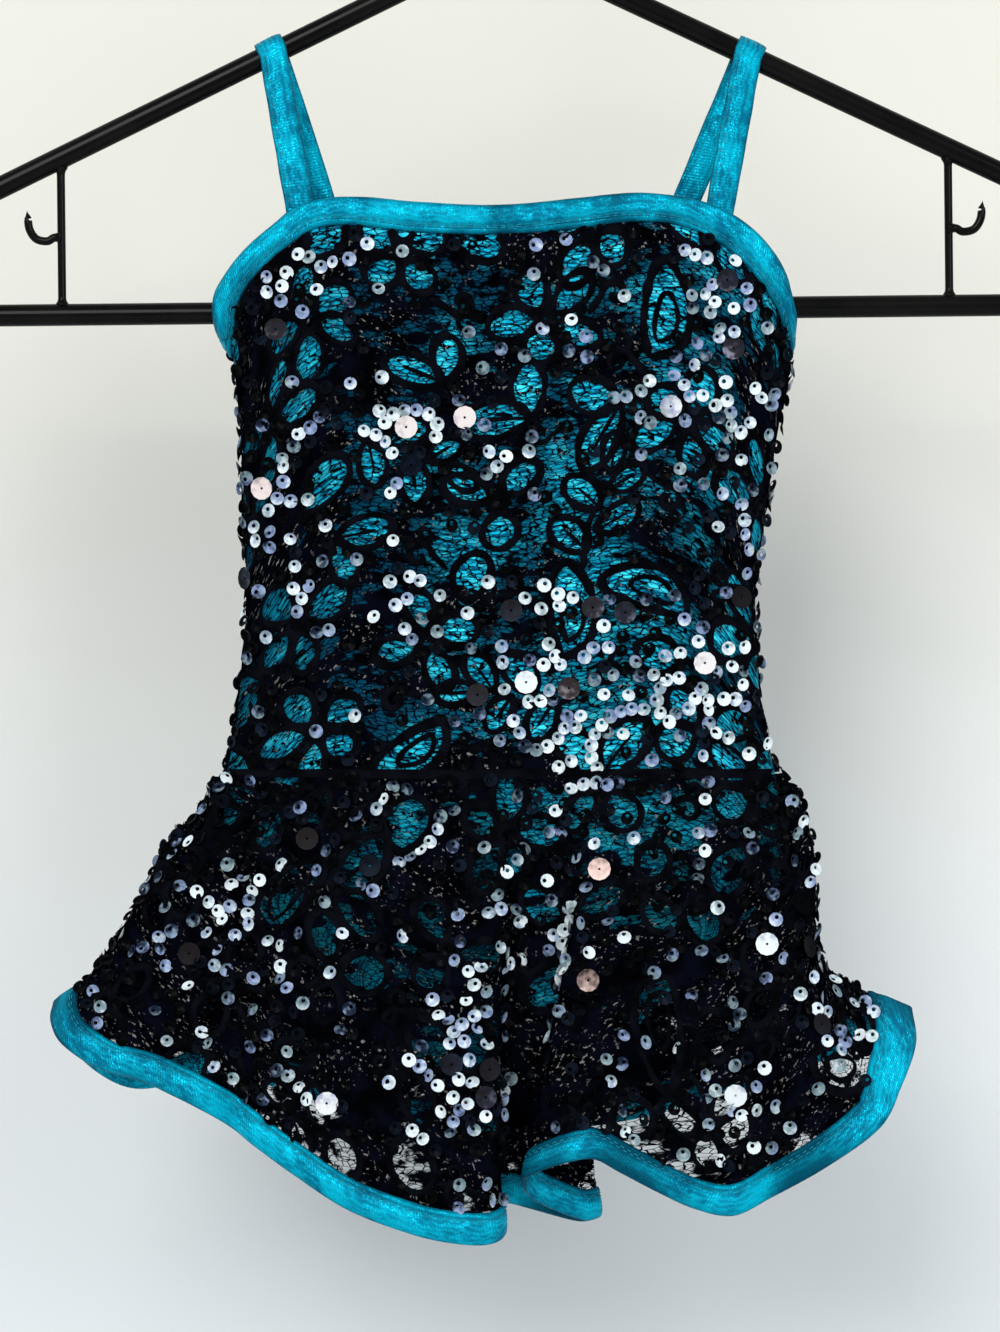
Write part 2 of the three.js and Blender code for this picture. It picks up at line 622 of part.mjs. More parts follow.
// A strap goes up from inside the front, over the arm and down to the inside of the back.
function strap({ name, side, front, frontDrop, arm, back }) {
  const onArm = flat(arm, armDrop(arm)).applyAxisAngle(TILT_AXIS, -tilt);
  const lean = slope - side * tilt;
  const armWay = new THREE.Vector3(Math.cos(lean), 0, -side * Math.sin(lean));
  const armUp = new THREE.Vector3(side * Math.sin(lean), 0, Math.cos(lean));
  const level = new THREE.Vector3(1, 0, 0);
  const loop = HANGER.tube / 2 + GAP + CLOTH.strap / 2;
  const inside = (x, drop, face) => {
    const place = bodyPoint(angleOf(x, drop), drop, face);
    place.x = x;
    place.y -= face * (STRAP_INSET + CLOTH.strap / 2);
    return place;
  };
  const ends = [inside(front, frontDrop, -1), inside(back, STRAP_BACK_DROP, 1)];
  const overArm = (turn) => onArm.clone()
    .addScaledVector(armUp, loop * Math.sin(turn))
    .add(new THREE.Vector3(0, -loop * Math.cos(turn), 0));
  const legShare = STRAP_LEG_ROWS / STRAP_ROWS;
  const centreLine = (v) => {
    if (v < legShare) return ends[0].clone().lerp(overArm(0), v / legShare);
    if (v > 1 - legShare) return overArm(Math.PI).lerp(ends[1], (v - 1 + legShare) / legShare);
    return overArm((Math.PI * (v - legShare)) / (1 - 2 * legShare));
  };
  const widthWay = (v) => {
    const near = Math.min(v, 1 - v) / legShare;
    return level.clone().lerp(armWay, clamp(near, 0, 1)).normalize();
  };
  const at = (u, row) => {
    const v = row / STRAP_ROWS;
    return centreLine(v).addScaledVector(widthWay(v), (u - 0.5) * STRAP_WIDTH);
  };
  const band = { at, first: 0, last: STRAP_ROWS };
  const faces = [-CLOTH.strap / 2, CLOTH.strap / 2];
  return mesh(name, wall(band, 1, [0, STRAP_ROWS], faces), BINDING);
}

// ---------- the whole ----------
const dress = new THREE.Group();
dress.add(hangerParts());
dress.add(...bodyPanels("front", -1, FRONT_TOP));
dress.add(...bodyPanels("back", 1, BACK_TOP));
dress.add(...skirtPanels("front", -1, FRONT_HEM));
dress.add(...skirtPanels("back", 1, BACK_HEM));
dress.add(...STRAPS.map(strap));

export default dress;
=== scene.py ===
# %% [markdown]
# # A lace dance dress on its hanger
# The dress is a leotard of turquoise foil jersey. Black sequinned lace lies over its bodice and
# flares out below the waist as a skirt, and turquoise binding closes every raw edge. Two straps
# hang it over the arms of a black tube hanger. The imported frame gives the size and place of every
# sewn piece, so this lesson only has to dress each one: finer folds, lace, sequins and thread.

# %% The frame and the tools
import itertools
import math

import bpy
import numpy as np
from mathutils import Matrix, Vector


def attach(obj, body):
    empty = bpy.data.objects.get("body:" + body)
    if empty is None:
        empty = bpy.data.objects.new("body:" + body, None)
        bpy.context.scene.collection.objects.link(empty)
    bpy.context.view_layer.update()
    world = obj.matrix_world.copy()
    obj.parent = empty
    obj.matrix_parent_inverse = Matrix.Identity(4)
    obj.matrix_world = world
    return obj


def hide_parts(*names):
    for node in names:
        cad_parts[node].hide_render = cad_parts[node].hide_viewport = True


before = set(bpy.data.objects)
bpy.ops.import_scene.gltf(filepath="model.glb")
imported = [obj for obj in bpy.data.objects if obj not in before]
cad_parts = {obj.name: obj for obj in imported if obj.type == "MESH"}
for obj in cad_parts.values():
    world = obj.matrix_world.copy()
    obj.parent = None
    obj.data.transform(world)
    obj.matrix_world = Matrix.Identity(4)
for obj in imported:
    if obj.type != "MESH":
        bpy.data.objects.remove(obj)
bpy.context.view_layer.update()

MM = 0.001
TAU = 2 * math.pi
print("sewn pieces and hanger parts in the frame:", len(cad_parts))

# %% [markdown]
# ## The pattern tables
# A dressmaker describes a piece by a few measured rows and lets the cloth run smoothly between
# them. These tables do the same, in millimetres: x to the right, "drop" down from the top of the
# hook. The cloth here has to lie exactly on the solids of the frame, so the rows are the same ones.

# %% Reading a table
def rows(names, values):
    """A table as named columns, in metres."""
    return dict(zip(names.split(), np.array(values, float).T * MM))


WAIST_DROP = 372 * MM
CROTCH_DROP = 489 * MM
HIP_DROP = 414 * MM
UNDERARM_DROP = 213 * MM
ARMHOLE_CLOSES_FROM = 208 * MM
ARMHOLE_HALF_DEPTH = 5.2 * MM
SECTION_POWER = 0.8
BASE, LACE, GAP = 1.2 * MM, 1.0 * MM, 0.3 * MM
LAYERS = BASE + GAP + LACE
BINDING_WIDTH = 10 * MM

OUTLINE = rows("drop left right", [
    (160, -105.5, 107.5), (196, -106.0, 108.0), (204, -105.0, 108.0), (212, -102.5, 107.0),
    (220, -98.5, 106.5), (228, -97.0, 105.6), (241, -95.8, 103.0), (256, -94.6, 100.4),
    (280, -94.2, 97.0), (300, -93.0, 93.9), (316, -93.2, 93.5), (330, -94.4, 94.6),
    (345, -96.0, 95.4), (358, -97.4, 97.2), (372, -100.5, 101.0), (386, -101.5, 102.5),
    (402, -101.0, 103.0), (414, -98.5, 101.0), (430, -80.0, 84.0), (450, -58.0, 63.0),
    (470, -39.0, 44.0), (482, -30.0, 35.0), (489, -27.5, 32.5),
])
DEPTH = rows("drop middle edge", [
    (160, 10.5, 5.2), (205, 11.5, 5.2), (300, 11.0, 0.15), (372, 12.5, 0.15), (402, 12.0, 0.15),
    (414, 11.0, 0.15), (432, 9.0, 3.2), (455, 6.4, 3.4), (474, 3.6, 2.2), (489, 0.15, 0.15),
])
LEG_DEPTH = {name: column[4:] for name, column in DEPTH.items()}
FRONT_TOP = rows("outX outDrop inX inDrop", [
    (-102.5, 213, -98.5, 220), (-104.6, 208, -98.6, 211), (-105.2, 201, -97.4, 203.5),
    (-102.4, 193.5, -93.4, 195.6), (-97.6, 186.6, -88.6, 189.6), (-91.4, 180.2, -83.2, 184.2),
    (-83.4, 173.4, -76.2, 179.0), (-76.0, 167.8, -69.8, 175.0), (-65.2, 164.7, -62.0, 173.2),
    (-52.0, 164.2, -51.0, 173.6), (-30.0, 166.4, -30.5, 176.0), (0.0, 167.1, 0.0, 176.6),
    (28.8, 164.8, 28.0, 174.6), (51.5, 162.6, 49.3, 172.0), (68.8, 164.4, 64.0, 173.0),
    (82.8, 168.8, 76.4, 177.4), (94.0, 176.2, 86.4, 183.8), (101.8, 185.0, 94.0, 191.4),
    (106.0, 193.6, 99.2, 199.0), (107.6, 202, 103.4, 206.6), (107.6, 208, 105.6, 213.0),
    (107.0, 213, 106.5, 220),
])
BACK_TOP = rows("outX outDrop inX inDrop", [
    (-102.5, 213, -98.5, 220), (-104.6, 208, -98.0, 212), (-104.2, 201.5, -95.4, 205),
    (-99.0, 193, -90.6, 197.6), (-90.0, 185, -83.2, 191.6), (-78.0, 178, -73.4, 186.4),
    (-62.0, 174, -60.4, 183.6), (-30.0, 173, -30.0, 182.8), (2.5, 173, 2.5, 182.8),
    (34.0, 172.6, 34.0, 182.4), (64.0, 173, 62.6, 182.6), (80.0, 177, 75.8, 185.6),
    (92.0, 184, 85.6, 191), (101.4, 192, 93.4, 197.4), (106.6, 201, 99.4, 205),
    (107.6, 208, 103.8, 212), (107.0, 213, 106.5, 220),
])
print("bodice", round(2 * OUTLINE["right"][9] / MM), "mm wide at its narrowest")

# %% The tables of the skirt
FRONT_HEM = rows("waist x y drop", [
    (-101.5, -162.0, -0.15, 455.5), (-98.5, -162.4, -5, 462), (-93, -158.0, -10, 469.5),
    (-86, -145.0, -15.5, 477.5), (-78, -129.0, -19, 481.8), (-70, -117.0, -24, 486.6),
    (-63.5, -106.5, -26, 491.6), (-57, -96.5, -22, 498), (-51, -88.0, -27, 504),
    (-42, -74.0, -28.5, 514), (-32, -54.0, -28, 527), (-21, -30.0, -31, 535.6),
    (-11, -13.0, -34, 538.4), (-4, -2.6, -31.6, 538.4), (0, 1.7, -25, 535.6),
    (3.5, -1.2, -17.6, 530.6), (7, -2.6, -10.4, 527.4), (10.5, 3.0, -5.6, 527.4),
    (15, 16.0, -5, 531), (19.5, 29.0, -6, 534), (23, 35.6, -10, 532),
    (26.5, 30.0, -14.4, 532.4), (31, 17.5, -18.4, 527.4), (35, 10.4, -23, 522.6),
    (38.5, 8.0, -29, 516.6), (42, 12.0, -34, 513.4), (46.5, 21.5, -37, 509.6),
    (52, 33.0, -36.6, 507.8), (57, 43.0, -34, 513), (62, 54.5, -30, 519.6),
    (67, 69.0, -25, 526.8), (71.5, 83.5, -21, 529.9), (77, 97.0, -24, 523),
    (84, 117.0, -27, 511.4), (90.5, 136.0, -23, 498), (95.5, 144.4, -16, 483.6),
    (99.5, 150.4, -8, 469), (102, 149.5, -0.15, 457.5),
])
BACK_HEM = rows("waist x y drop", [
    (-101.5, -162.0, 0.15, 455.5), (-98, -159.5, 5.5, 466), (-93, -151.6, 9, 478),
    (-86, -139.0, 12, 486.6), (-79, -127.0, 13.5, 487.8), (-70, -114.0, 12, 483),
    (-58, -94.0, 8.5, 484), (-44, -70.0, 16, 492), (-30, -47.0, 9.5, 500),
    (-14, -22.0, 17.5, 504), (3, 3.0, 10.5, 505), (20, 28.0, 17.5, 503), (37, 53.0, 10.5, 498),
    (54, 78.0, 17, 491), (69, 100.0, 11, 485), (83, 121.0, 15.5, 477), (93, 137.0, 11, 470),
    (99, 146.5, 6, 462), (102, 149.5, 0.15, 457.5),
])
SKIRT_LEFT = rows("x drop", [
    (-101.5, 372.3), (-105.0, 378), (-112.0, 388.5), (-122.0, 400), (-129.5, 415),
    (-137.0, 428.5), (-143.5, 439.5), (-150.5, 447), (-162.0, 455.5),
])
SKIRT_RIGHT = rows("x drop", [
    (102.0, 372.3), (108.0, 380), (112.0, 391), (114.0, 404), (114.4, 418), (114.6, 431),
    (119.0, 442.5), (131.5, 450.5), (149.5, 457.5),
])
SIDE_SWING = 15 * MM
SKIRT_HALF_DEPTH = 15.9 * MM
print("hem of the front skirt:", len(FRONT_HEM["x"]), "turns from side to side")

# %% [markdown]
# ## Curves through the rows
# A straight line from row to row would leave a corner at each one. A Hermite curve takes the slope
# at a row from its two neighbours, so the cloth passes through every measured point smoothly.

# %% Smooth curves
def smooth(table, across, wanted):
    """One column of a table as a smooth function of another column, which rises."""
    x, y = table[across], table[wanted]
    slope = np.empty_like(y)
    slope[1:-1] = (y[2:] - y[:-2]) / (x[2:] - x[:-2])
    slope[0] = (y[1] - y[0]) / (x[1] - x[0])
    slope[-1] = (y[-1] - y[-2]) / (x[-1] - x[-2])

    def curve(value):
        at = np.clip(value, x[0], x[-1])
        i = np.clip(np.searchsorted(x, at, side="right") - 1, 0, len(x) - 2)
        span = x[i + 1] - x[i]
        t = (at - x[i]) / span
        t2, t3 = t * t, t * t * t
        ends = (2 * t3 - 3 * t2 + 1) * y[i] + (3 * t2 - 2 * t3) * y[i + 1]
        return ends + ((t3 - 2 * t2 + t) * slope[i] + (t3 - t2) * slope[i + 1]) * span

    return curve


def path(table):
    """A table as a smooth path: s runs from 0 at the first row to 1 at the last."""
    count = len(next(iter(table.values())))
    counted = {**table, "index": np.arange(count, dtype=float)}
    curves = {name: smooth(counted, "index", name) for name in table}
    return lambda s: {name: curve(s * (count - 1)) for name, curve in curves.items()}


def lerp(a, b, t):
    return a + (b - a) * t


print("outline at 250 mm:", round(float(smooth(OUTLINE, "drop", "left")(0.25)) / MM, 1), "mm")

# %% [markdown]
# ## The body of the leotard
# Hung on a hanger with nobody in it, a leotard is a flattened tube: wide, and only two or three
# centimetres deep. Each height is one fuller-than-elliptical section, so a point is found from its
# angle round the section and its drop. Below the hip the leg openings narrow it to the crotch.

# %% A point of the flattened body
outline_left = smooth(OUTLINE, "drop", "left")
outline_right = smooth(OUTLINE, "drop", "right")
middle_depth = smooth(DEPTH, "drop", "middle")
leg_depth = smooth(LEG_DEPTH, "drop", "edge")


def centre(drop):
    return (outline_left(drop) + outline_right(drop)) / 2


def half_width(drop):
    return (outline_right(drop) - outline_left(drop)) / 2 - LAYERS


def edge_depth(drop):
    """Half the depth at the side: open at the armholes, shut by the side seam, open at the legs."""
    span = UNDERARM_DROP - ARMHOLE_CLOSES_FROM
    closing = np.clip((drop - ARMHOLE_CLOSES_FROM) / span, 0, 1)
    armhole = ARMHOLE_HALF_DEPTH * np.sqrt(1 - closing**2)
    return np.maximum(np.where(drop >= HIP_DROP, leg_depth(drop), armhole), GAP / 2)


def body_point(angle, drop, face):
    """Angle 0 is the left side seam and pi the right one. Face is -1 in front and 1 behind."""
    edge = edge_depth(drop)
    fullness = np.maximum(np.sin(np.clip(angle, 0, np.pi)), 0) ** SECTION_POWER
    depth = edge + np.maximum(middle_depth(drop) - edge, 0) * fullness
    x = centre(drop) - half_width(drop) * np.cos(angle)
    return np.stack([x, face * depth, -drop], -1)


def angle_of(x, drop):
    return np.arccos(np.clip((centre(drop) - x) / (half_width(drop) + LAYERS), -1, 1))


print("waist point:", np.round(body_point(np.pi / 2, WAIST_DROP, -1), 4))

# %% A panel of the body
BODICE_ROWS, BRIEF_ROWS = 10, 7
LAST_ROW = BODICE_ROWS + BRIEF_ROWS


def body_panel(top, face):
    """u runs across and row down: -1 is the fold of the binding, 0 its seam and 10 the waist."""
    edge = {
        "inAngle": angle_of(top["inX"], top["inDrop"]),
        "outAngle": angle_of(top["outX"], top["outDrop"]),
        "inDrop": top["inDrop"],
        "outDrop": top["outDrop"],
    }
    seam_drop, fold_angle, fold_drop = (
        smooth(edge, "inAngle", name) for name in ("inDrop", "outAngle", "outDrop")
    )

    def at(u, row):
        angle = np.pi * lerp(u, 0.5 - 0.5 * np.cos(np.pi * u), 0.35)
        seam = seam_drop(angle)
        bodice = lerp(seam, WAIST_DROP, np.clip(row / BODICE_ROWS, 0, 1))
        brief = np.clip((row - BODICE_ROWS) / BRIEF_ROWS, 0, 1)
        above = np.clip(-row, 0, None)
        bound = lerp(seam, fold_drop(angle), above)
        drop = np.where(row < 0, bound, lerp(bodice, CROTCH_DROP, brief))
        return body_point(lerp(angle, fold_angle(angle), above), drop, face)

    return at


front_body = body_panel(FRONT_TOP, -1)
back_body = body_panel(BACK_TOP, 1)
print("top of the front at the middle:", np.round(front_body(np.array(0.5), np.array(-1.0)), 4))

# %% [markdown]
# ## The skirt
# A flared skirt is cut as part of a ring, so its hem is more than twice as long as its waist and
# has to fold. Straight lines of cloth fall from each place on the waist to its place on the hem,
# and where the hem turns back on itself the lines make a flute. The side seams swing outwards.

# %% A point of the skirt
side_left, side_right = path(SKIRT_LEFT), path(SKIRT_RIGHT)


def skirt_point(hem_rows, face):
    """v runs from 0 at the waist seam to 1 at the hem."""
    hem = path(hem_rows)
    first = {name: column[0] for name, column in hem_rows.items()}
    last = {name: column[-1] for name, column in hem_rows.items()}
    middle, half = (first["waist"] + last["waist"]) / 2, (last["waist"] - first["waist"]) / 2
    seam_drop = WAIST_DROP + GAP

    def point(u, v):
        at = hem(u)
        angle = np.arccos(np.clip((middle - at["waist"]) / half, -1, 1))
        depth = lerp(GAP / 2, SKIRT_HALF_DEPTH, np.sin(angle) ** SECTION_POWER)
        x, y = lerp(at["waist"], at["x"], v), lerp(face * depth, at["y"], v)
        drop = lerp(seam_drop, at["drop"], v)
        for seam, corner in ((side_left, first), (side_right, last)):
            share = np.exp(-(((at["waist"] - corner["waist"]) / SIDE_SWING) ** 2))
            x = x + share * (seam(v)["x"] - lerp(corner["waist"], corner["x"], v))
            drop = drop + share * (seam(v)["drop"] - lerp(seam_drop, corner["drop"], v))
        return np.stack([x, y, -drop], -1)

    return point


SKIRT_ROWS = 8


def skirt_panel(hem_rows, face):
    """Rows 0 to 8 are lace and the last one the binding, 10 mm wide however long the cloth is."""
    point = skirt_point(hem_rows, face)

    def at(u, row):
        length = np.linalg.norm(point(u, np.ones_like(u)) - point(u, np.zeros_like(u)), axis=-1)
        seam = 1 - BINDING_WIDTH / length
        lace, binding = seam * row / SKIRT_ROWS, lerp(seam, 1, row - SKIRT_ROWS)
        return point(u, np.where(row <= SKIRT_ROWS, lace, binding))

    return at


front_skirt = skirt_panel(FRONT_HEM, -1)
back_skirt = skirt_panel(BACK_HEM, 1)
print("left corner of the hem:", np.round(front_skirt(np.array(0.0), np.array(9.0)), 4))

# %% [markdown]
# ## Cloth as a fine grid
# Every layer of a panel, from the jersey to the sequins, has to follow the same creases. So the
# creases are put into one fine grid for each panel, and each layer is that grid moved out a little.
# The grid also knows how long the cloth is across and down at every point, so a motif or a weave
# drawn in millimetres keeps its size however the cloth folds.

# %% Soft noise
def soft_noise(x, y, seed):
    """Smooth random hills, one unit apart, from -1 to 1."""
    lattice = np.random.default_rng(seed).uniform(-1, 1, (64, 64))
    i, j = np.floor(x).astype(int), np.floor(y).astype(int)
    fx, fy = x - i, y - j
    fx, fy = fx * fx * (3 - 2 * fx), fy * fy * (3 - 2 * fy)
    near, far = i % 64, (i + 1) % 64
    low, high = j % 64, (j + 1) % 64
    bottom = lerp(lattice[near, low], lattice[far, low], fx)
    top = lerp(lattice[near, high], lattice[far, high], fx)
    return lerp(bottom, top, fy)


def wobble(along, lane, seed):
    """Soft noise along a line. Each lane has hills of its own."""
    return soft_noise(along, np.full_like(along, lane), seed)


print("a hill of the noise:", round(float(soft_noise(np.array(0.4), np.array(2.6), 3)), 3))

# %% The grid of a panel
class Cloth:
    """One panel as a fine grid of points with outward normals and its lengths across and down."""

    def __init__(self, at, first, last, columns, per_row, face, creases):
        self.u = np.linspace(0, 1, columns + 1)
        self.row = np.linspace(first, last, round((last - first) * per_row) + 1)
        across, down = np.meshgrid(self.u, self.row, indexing="ij")
        self.face = face
        self.points = at(across, down)
        self.measure()
        self.points = self.points + self.normals * creases(self)[..., None]
        self.measure()

    def measure(self):
        """Lengths are counted from the middle column and from row 0 of the panel."""
        p = self.points
        step = np.linalg.norm(np.diff(p, axis=0), axis=-1)
        self.across = np.concatenate([np.zeros((1, p.shape[1])), np.cumsum(step, 0)])
        self.across -= self.across[len(self.u) // 2]
        step = np.linalg.norm(np.diff(p, axis=1), axis=-1)
        self.down = np.concatenate([np.zeros((p.shape[0], 1)), np.cumsum(step, 1)], 1)
        zero = int(np.argmin(abs(self.row)))
        self.down -= self.down[:, zero : zero + 1]
        along, fall = np.gradient(p, axis=0), np.gradient(p, axis=1)
        normal = np.cross(along, fall)
        length = np.linalg.norm(normal, axis=-1, keepdims=True)
        self.normals = self.face * normal / np.maximum(length, 1e-12)

    def span(self, first, last):
        """The columns of the grid between two rows."""
        keep = (self.row >= first - 1e-6) & (self.row <= last + 1e-6)
        return np.flatnonzero(keep)


def body_creases(cloth):
    """Small level puckers where stretched jersey has sprung back, and soft hollows."""
    x, y = cloth.across / MM, cloth.down / MM
    sway = 3 * soft_noise(x / 30, y / 40, 5)
    puckers = soft_noise(x / 26, (y + sway) / 5.5, 11) + 0.6 * soft_noise(x / 14, y / 3.4, 12)
    hollows = soft_noise(x / 45, y / 38, 13)
    edge = np.clip((97 - abs(x)) / 12, 0, 1)
    return (0.42 * puckers + 0.8 * hollows) * edge * MM


def skirt_creases(cloth):
    """Soft ridges that run down from the waist seam and die out at the hem."""
    x, y = cloth.across / MM, cloth.down / MM
    share = x / np.maximum(abs(cloth.across[0]) + abs(cloth.across[-1]), 1e-6) * MM
    ridges = soft_noise(share * 46, y / 90, 21)
    dents = soft_noise(x / 13, y / 11, 22)
    grown = np.clip(y / 18, 0, 1) * np.clip((y.max() - y) / 20, 0, 1)
    return (0.9 * ridges + 0.5 * dents) * grown * MM


FRONT = Cloth(front_body, -1, LAST_ROW, 180, 9, -1, body_creases)
BACK = Cloth(back_body, -1, LAST_ROW, 180, 9, 1, body_creases)
SKIRT_FRONT = Cloth(front_skirt, 0, SKIRT_ROWS + 1, 420, 14, -1, skirt_creases)
SKIRT_BACK = Cloth(back_skirt, 0, SKIRT_ROWS + 1, 300, 10, 1, skirt_creases)
print("front skirt: waist", round(SKIRT_FRONT.across[-1, 0] - SKIRT_FRONT.across[0, 0], 3),
      "m, hem", round(SKIRT_FRONT.across[-1, -1] - SKIRT_FRONT.across[0, -1], 3), "m")

# %% [markdown]
# ## From grid to mesh
# A layer is the grid moved out along its normals. Jersey has two faces and a closed rim, so light
# can't pass between them. Lace is so thin that one face is enough, and its holes come from the
# material. Both get a UV map in metres along the cloth, which weave and net are drawn on.

# %% Making a mesh
def linked(name, data):
    """A new object in the scene."""
    obj = bpy.data.objects.new(name, data)
    bpy.context.scene.collection.objects.link(obj)
    return obj


def mark(mesh, name, values):
    """Stores a named number, or a vector, for each point of a mesh."""
    values = np.asarray(values, np.float32)
    kind, field = ("FLOAT_VECTOR", "vector") if values.ndim == 2 else ("FLOAT", "value")
    mesh.attributes.new(name, kind, "POINT").data.foreach_set(field, values.ravel())


def mesh_object(name, points, faces, uv=None, material=None, smooth_faces=True, marks=None):
    """A mesh object at the origin. uv holds a pair for each point, and marks a named value each."""
    mesh = bpy.data.meshes.new(name)
    mesh.from_pydata([tuple(p) for p in np.asarray(points)], [], [tuple(f) for f in faces])
    if uv is not None:
        corner = np.empty(len(mesh.loops), np.int32)
        mesh.loops.foreach_get("vertex_index", corner)
        layer = mesh.uv_layers.new(name="cloth")
        layer.data.foreach_set("uv", np.asarray(uv, np.float32)[corner].ravel())
    for mark_name, values in (marks or {}).items():
        mark(mesh, mark_name, values)
    mesh.polygons.foreach_set("use_smooth", [smooth_faces] * len(mesh.polygons))
    if material:
        mesh.materials.append(material)
    mesh.update()
    return linked(name, mesh)


# %% Faces of grids and tubes
def grid_faces(columns, count, start=0, turned=False):
    """Quads of a grid of points counted column by column."""
    i, j = np.meshgrid(np.arange(columns - 1), np.arange(count - 1), indexing="ij")
    a = (start + i * count + j).ravel()
    quads = np.stack([a, a + 1, a + count + 1, a + count], 1)
    return quads[:, ::-1] if turned else quads


def rim_faces(columns, count, layer):
    """Quads that close a grid to a second one, "layer" points further on."""
    top = np.arange(columns) * count
    loop = np.concatenate([
        top, np.arange(1, count) + (columns - 1) * count,
        (top + count - 1)[::-1][1:], np.arange(count - 2, 0, -1),
    ])
    after = np.roll(loop, -1)
    return np.stack([loop, after, after + layer, loop + layer], 1)


def tube_faces(rings, count, looped=False):
    """Faces of a tube of rings of points, closed into a loop or with a cap at each end."""
    i, j = np.meshgrid(np.arange(rings if looped else rings - 1), np.arange(count), indexing="ij")
    after, beside = (i + 1) % rings, (j + 1) % count
    corners = [i * count + j, i * count + beside, after * count + beside, after * count + j]
    faces = np.stack(corners, -1).reshape(-1, 4).tolist()
    if not looped:
        faces += [list(range(count))[::-1], list(range((rings - 1) * count, rings * count))]
    return faces


def walked_along(line):
    """The way walked from the first point of a line to each of its points."""
    return np.concatenate([[0], np.cumsum(np.linalg.norm(np.diff(line, axis=0), axis=1))])


print("a tube of 3 rings of 4 points has", len(tube_faces(3, 4)), "faces")

# %% Layers of cloth
def layer_points(cloth, keep, offset):
    lifted = cloth.points[:, keep] + cloth.normals[:, keep] * offset
    return lifted.reshape(-1, 3)


def layer_uv(cloth, keep):
    return np.stack([cloth.across[:, keep], -cloth.down[:, keep]], -1).reshape(-1, 2)


def shell(name, cloth, first, last, inner, outer, material):
    """A closed wall of cloth between two offsets."""
    keep = cloth.span(first, last)
    columns, count = len(cloth.u), len(keep)
    layer = columns * count
    points = np.concatenate([layer_points(cloth, keep, inner), layer_points(cloth, keep, outer)])
    uv = np.concatenate([layer_uv(cloth, keep)] * 2)
    faces = np.concatenate([
        grid_faces(columns, count), grid_faces(columns, count, layer, True),
        rim_faces(columns, count, layer),
    ])
    return facing_out(mesh_object(name, points, faces, uv, material))


def facing_out(obj):
    """Turns a closed mesh right side out."""
    mesh = obj.data
    mesh.calc_loop_triangles()
    corner = np.empty(len(mesh.loop_triangles) * 3, np.int32)
    mesh.loop_triangles.foreach_get("vertices", corner)
    co = np.empty(len(mesh.vertices) * 3)
    mesh.vertices.foreach_get("co", co)
    p = co.reshape(-1, 3)[corner].reshape(-1, 3, 3)
    volume = np.einsum("ij,ij->i", p[:, 0], np.cross(p[:, 1], p[:, 2])).sum()
    if volume < 0:
        mesh.flip_normals()
    return obj


# %% [markdown]
# ## Shader groups for cloth
# Foil jersey is knitted cloth with a thin metallic film, which cracks into bright flecks as it
# stretches. Binding is the same jersey folded, with less film left. One group makes the flecks and
# the knit for both. It puts out only a mask, a depth and a height, and each material mixes its own
# colours from them. The depth is a soft mottle, partly painted sheen, and painted shade along the
# crinkles.

# %% Tools for node trees
def group(kind, name, inputs, outputs):
    """A node group. An input is given by its default, or by its kind where it needs none."""
    tree = bpy.data.node_groups.new(name, kind)
    for label, given in inputs.items():
        word = given if isinstance(given, str) else type(given).__name__.capitalize()
        socket = tree.interface.new_socket(
            name=label, in_out="INPUT", socket_type=f"NodeSocket{word}")
        if not isinstance(given, str):
            socket.default_value = given
    for label, word in outputs.items():
        tree.interface.new_socket(name=label, in_out="OUTPUT", socket_type=f"NodeSocket{word}")
    ends = [tree.nodes.new(end) for end in ("NodeGroupInput", "NodeGroupOutput")]
    return tree, ends[0].outputs, ends[1].inputs


def feed(tree, sockets, inputs):
    """Links or sets sockets by name or number."""
    for key, value in inputs.items():
        if isinstance(value, bpy.types.NodeSocket):
            tree.links.new(value, sockets[key])
        else:
            sockets[key].default_value = value


def add(tree, kind, inputs=None, out=0, **settings):
    """Adds a node, sets its properties and its inputs, and gives one of its outputs."""
    node = tree.nodes.new(kind)
    for key, value in settings.items():
        setattr(node, key, value)
    feed(tree, node.inputs, inputs or {})
    return node.outputs[out]


def maths(tree, operation, *values):
    return add(tree, "ShaderNodeMath", dict(enumerate(values)), operation=operation)


def between(tree, value, low, high, to_low=0.0, to_high=1.0):
    """Runs from to_low to to_high, smoothly, as the value runs from low to high."""
    inputs = {"Value": value, "From Min": low, "From Max": high, "To Min": to_low,
              "To Max": to_high}
    return add(tree, "ShaderNodeMapRange", inputs, interpolation_type="SMOOTHSTEP")


def noise(tree, place, scale, detail, roughness=0.5, out=0):
    inputs = {"Vector": place, "Scale": scale, "Detail": detail, "Roughness": roughness}
    return add(tree, "ShaderNodeTexNoise", inputs, out)


def colour(red, green, blue):
    return (red, green, blue, 1.0)


def mix_colour(tree, share, a, b):
    """Runs from colour a to colour b as the share runs from 0 to 1."""
    ends = (end if isinstance(end, bpy.types.NodeSocket) else colour(*end) for end in (a, b))
    return add(tree, "ShaderNodeMix", {0: share, **dict(zip((6, 7), ends))}, 2, data_type="RGBA")


# %% The group for jersey
RIB_SCALE, CRINKLE_SCALE = 285.0, 165.0  # a rib every 1.1 mm and a crinkle every 1.9 mm


def scaled(tree, vector, x, y, z):
    return add(tree, "ShaderNodeMapping", {"Vector": vector, "Scale": (x, y, z)})


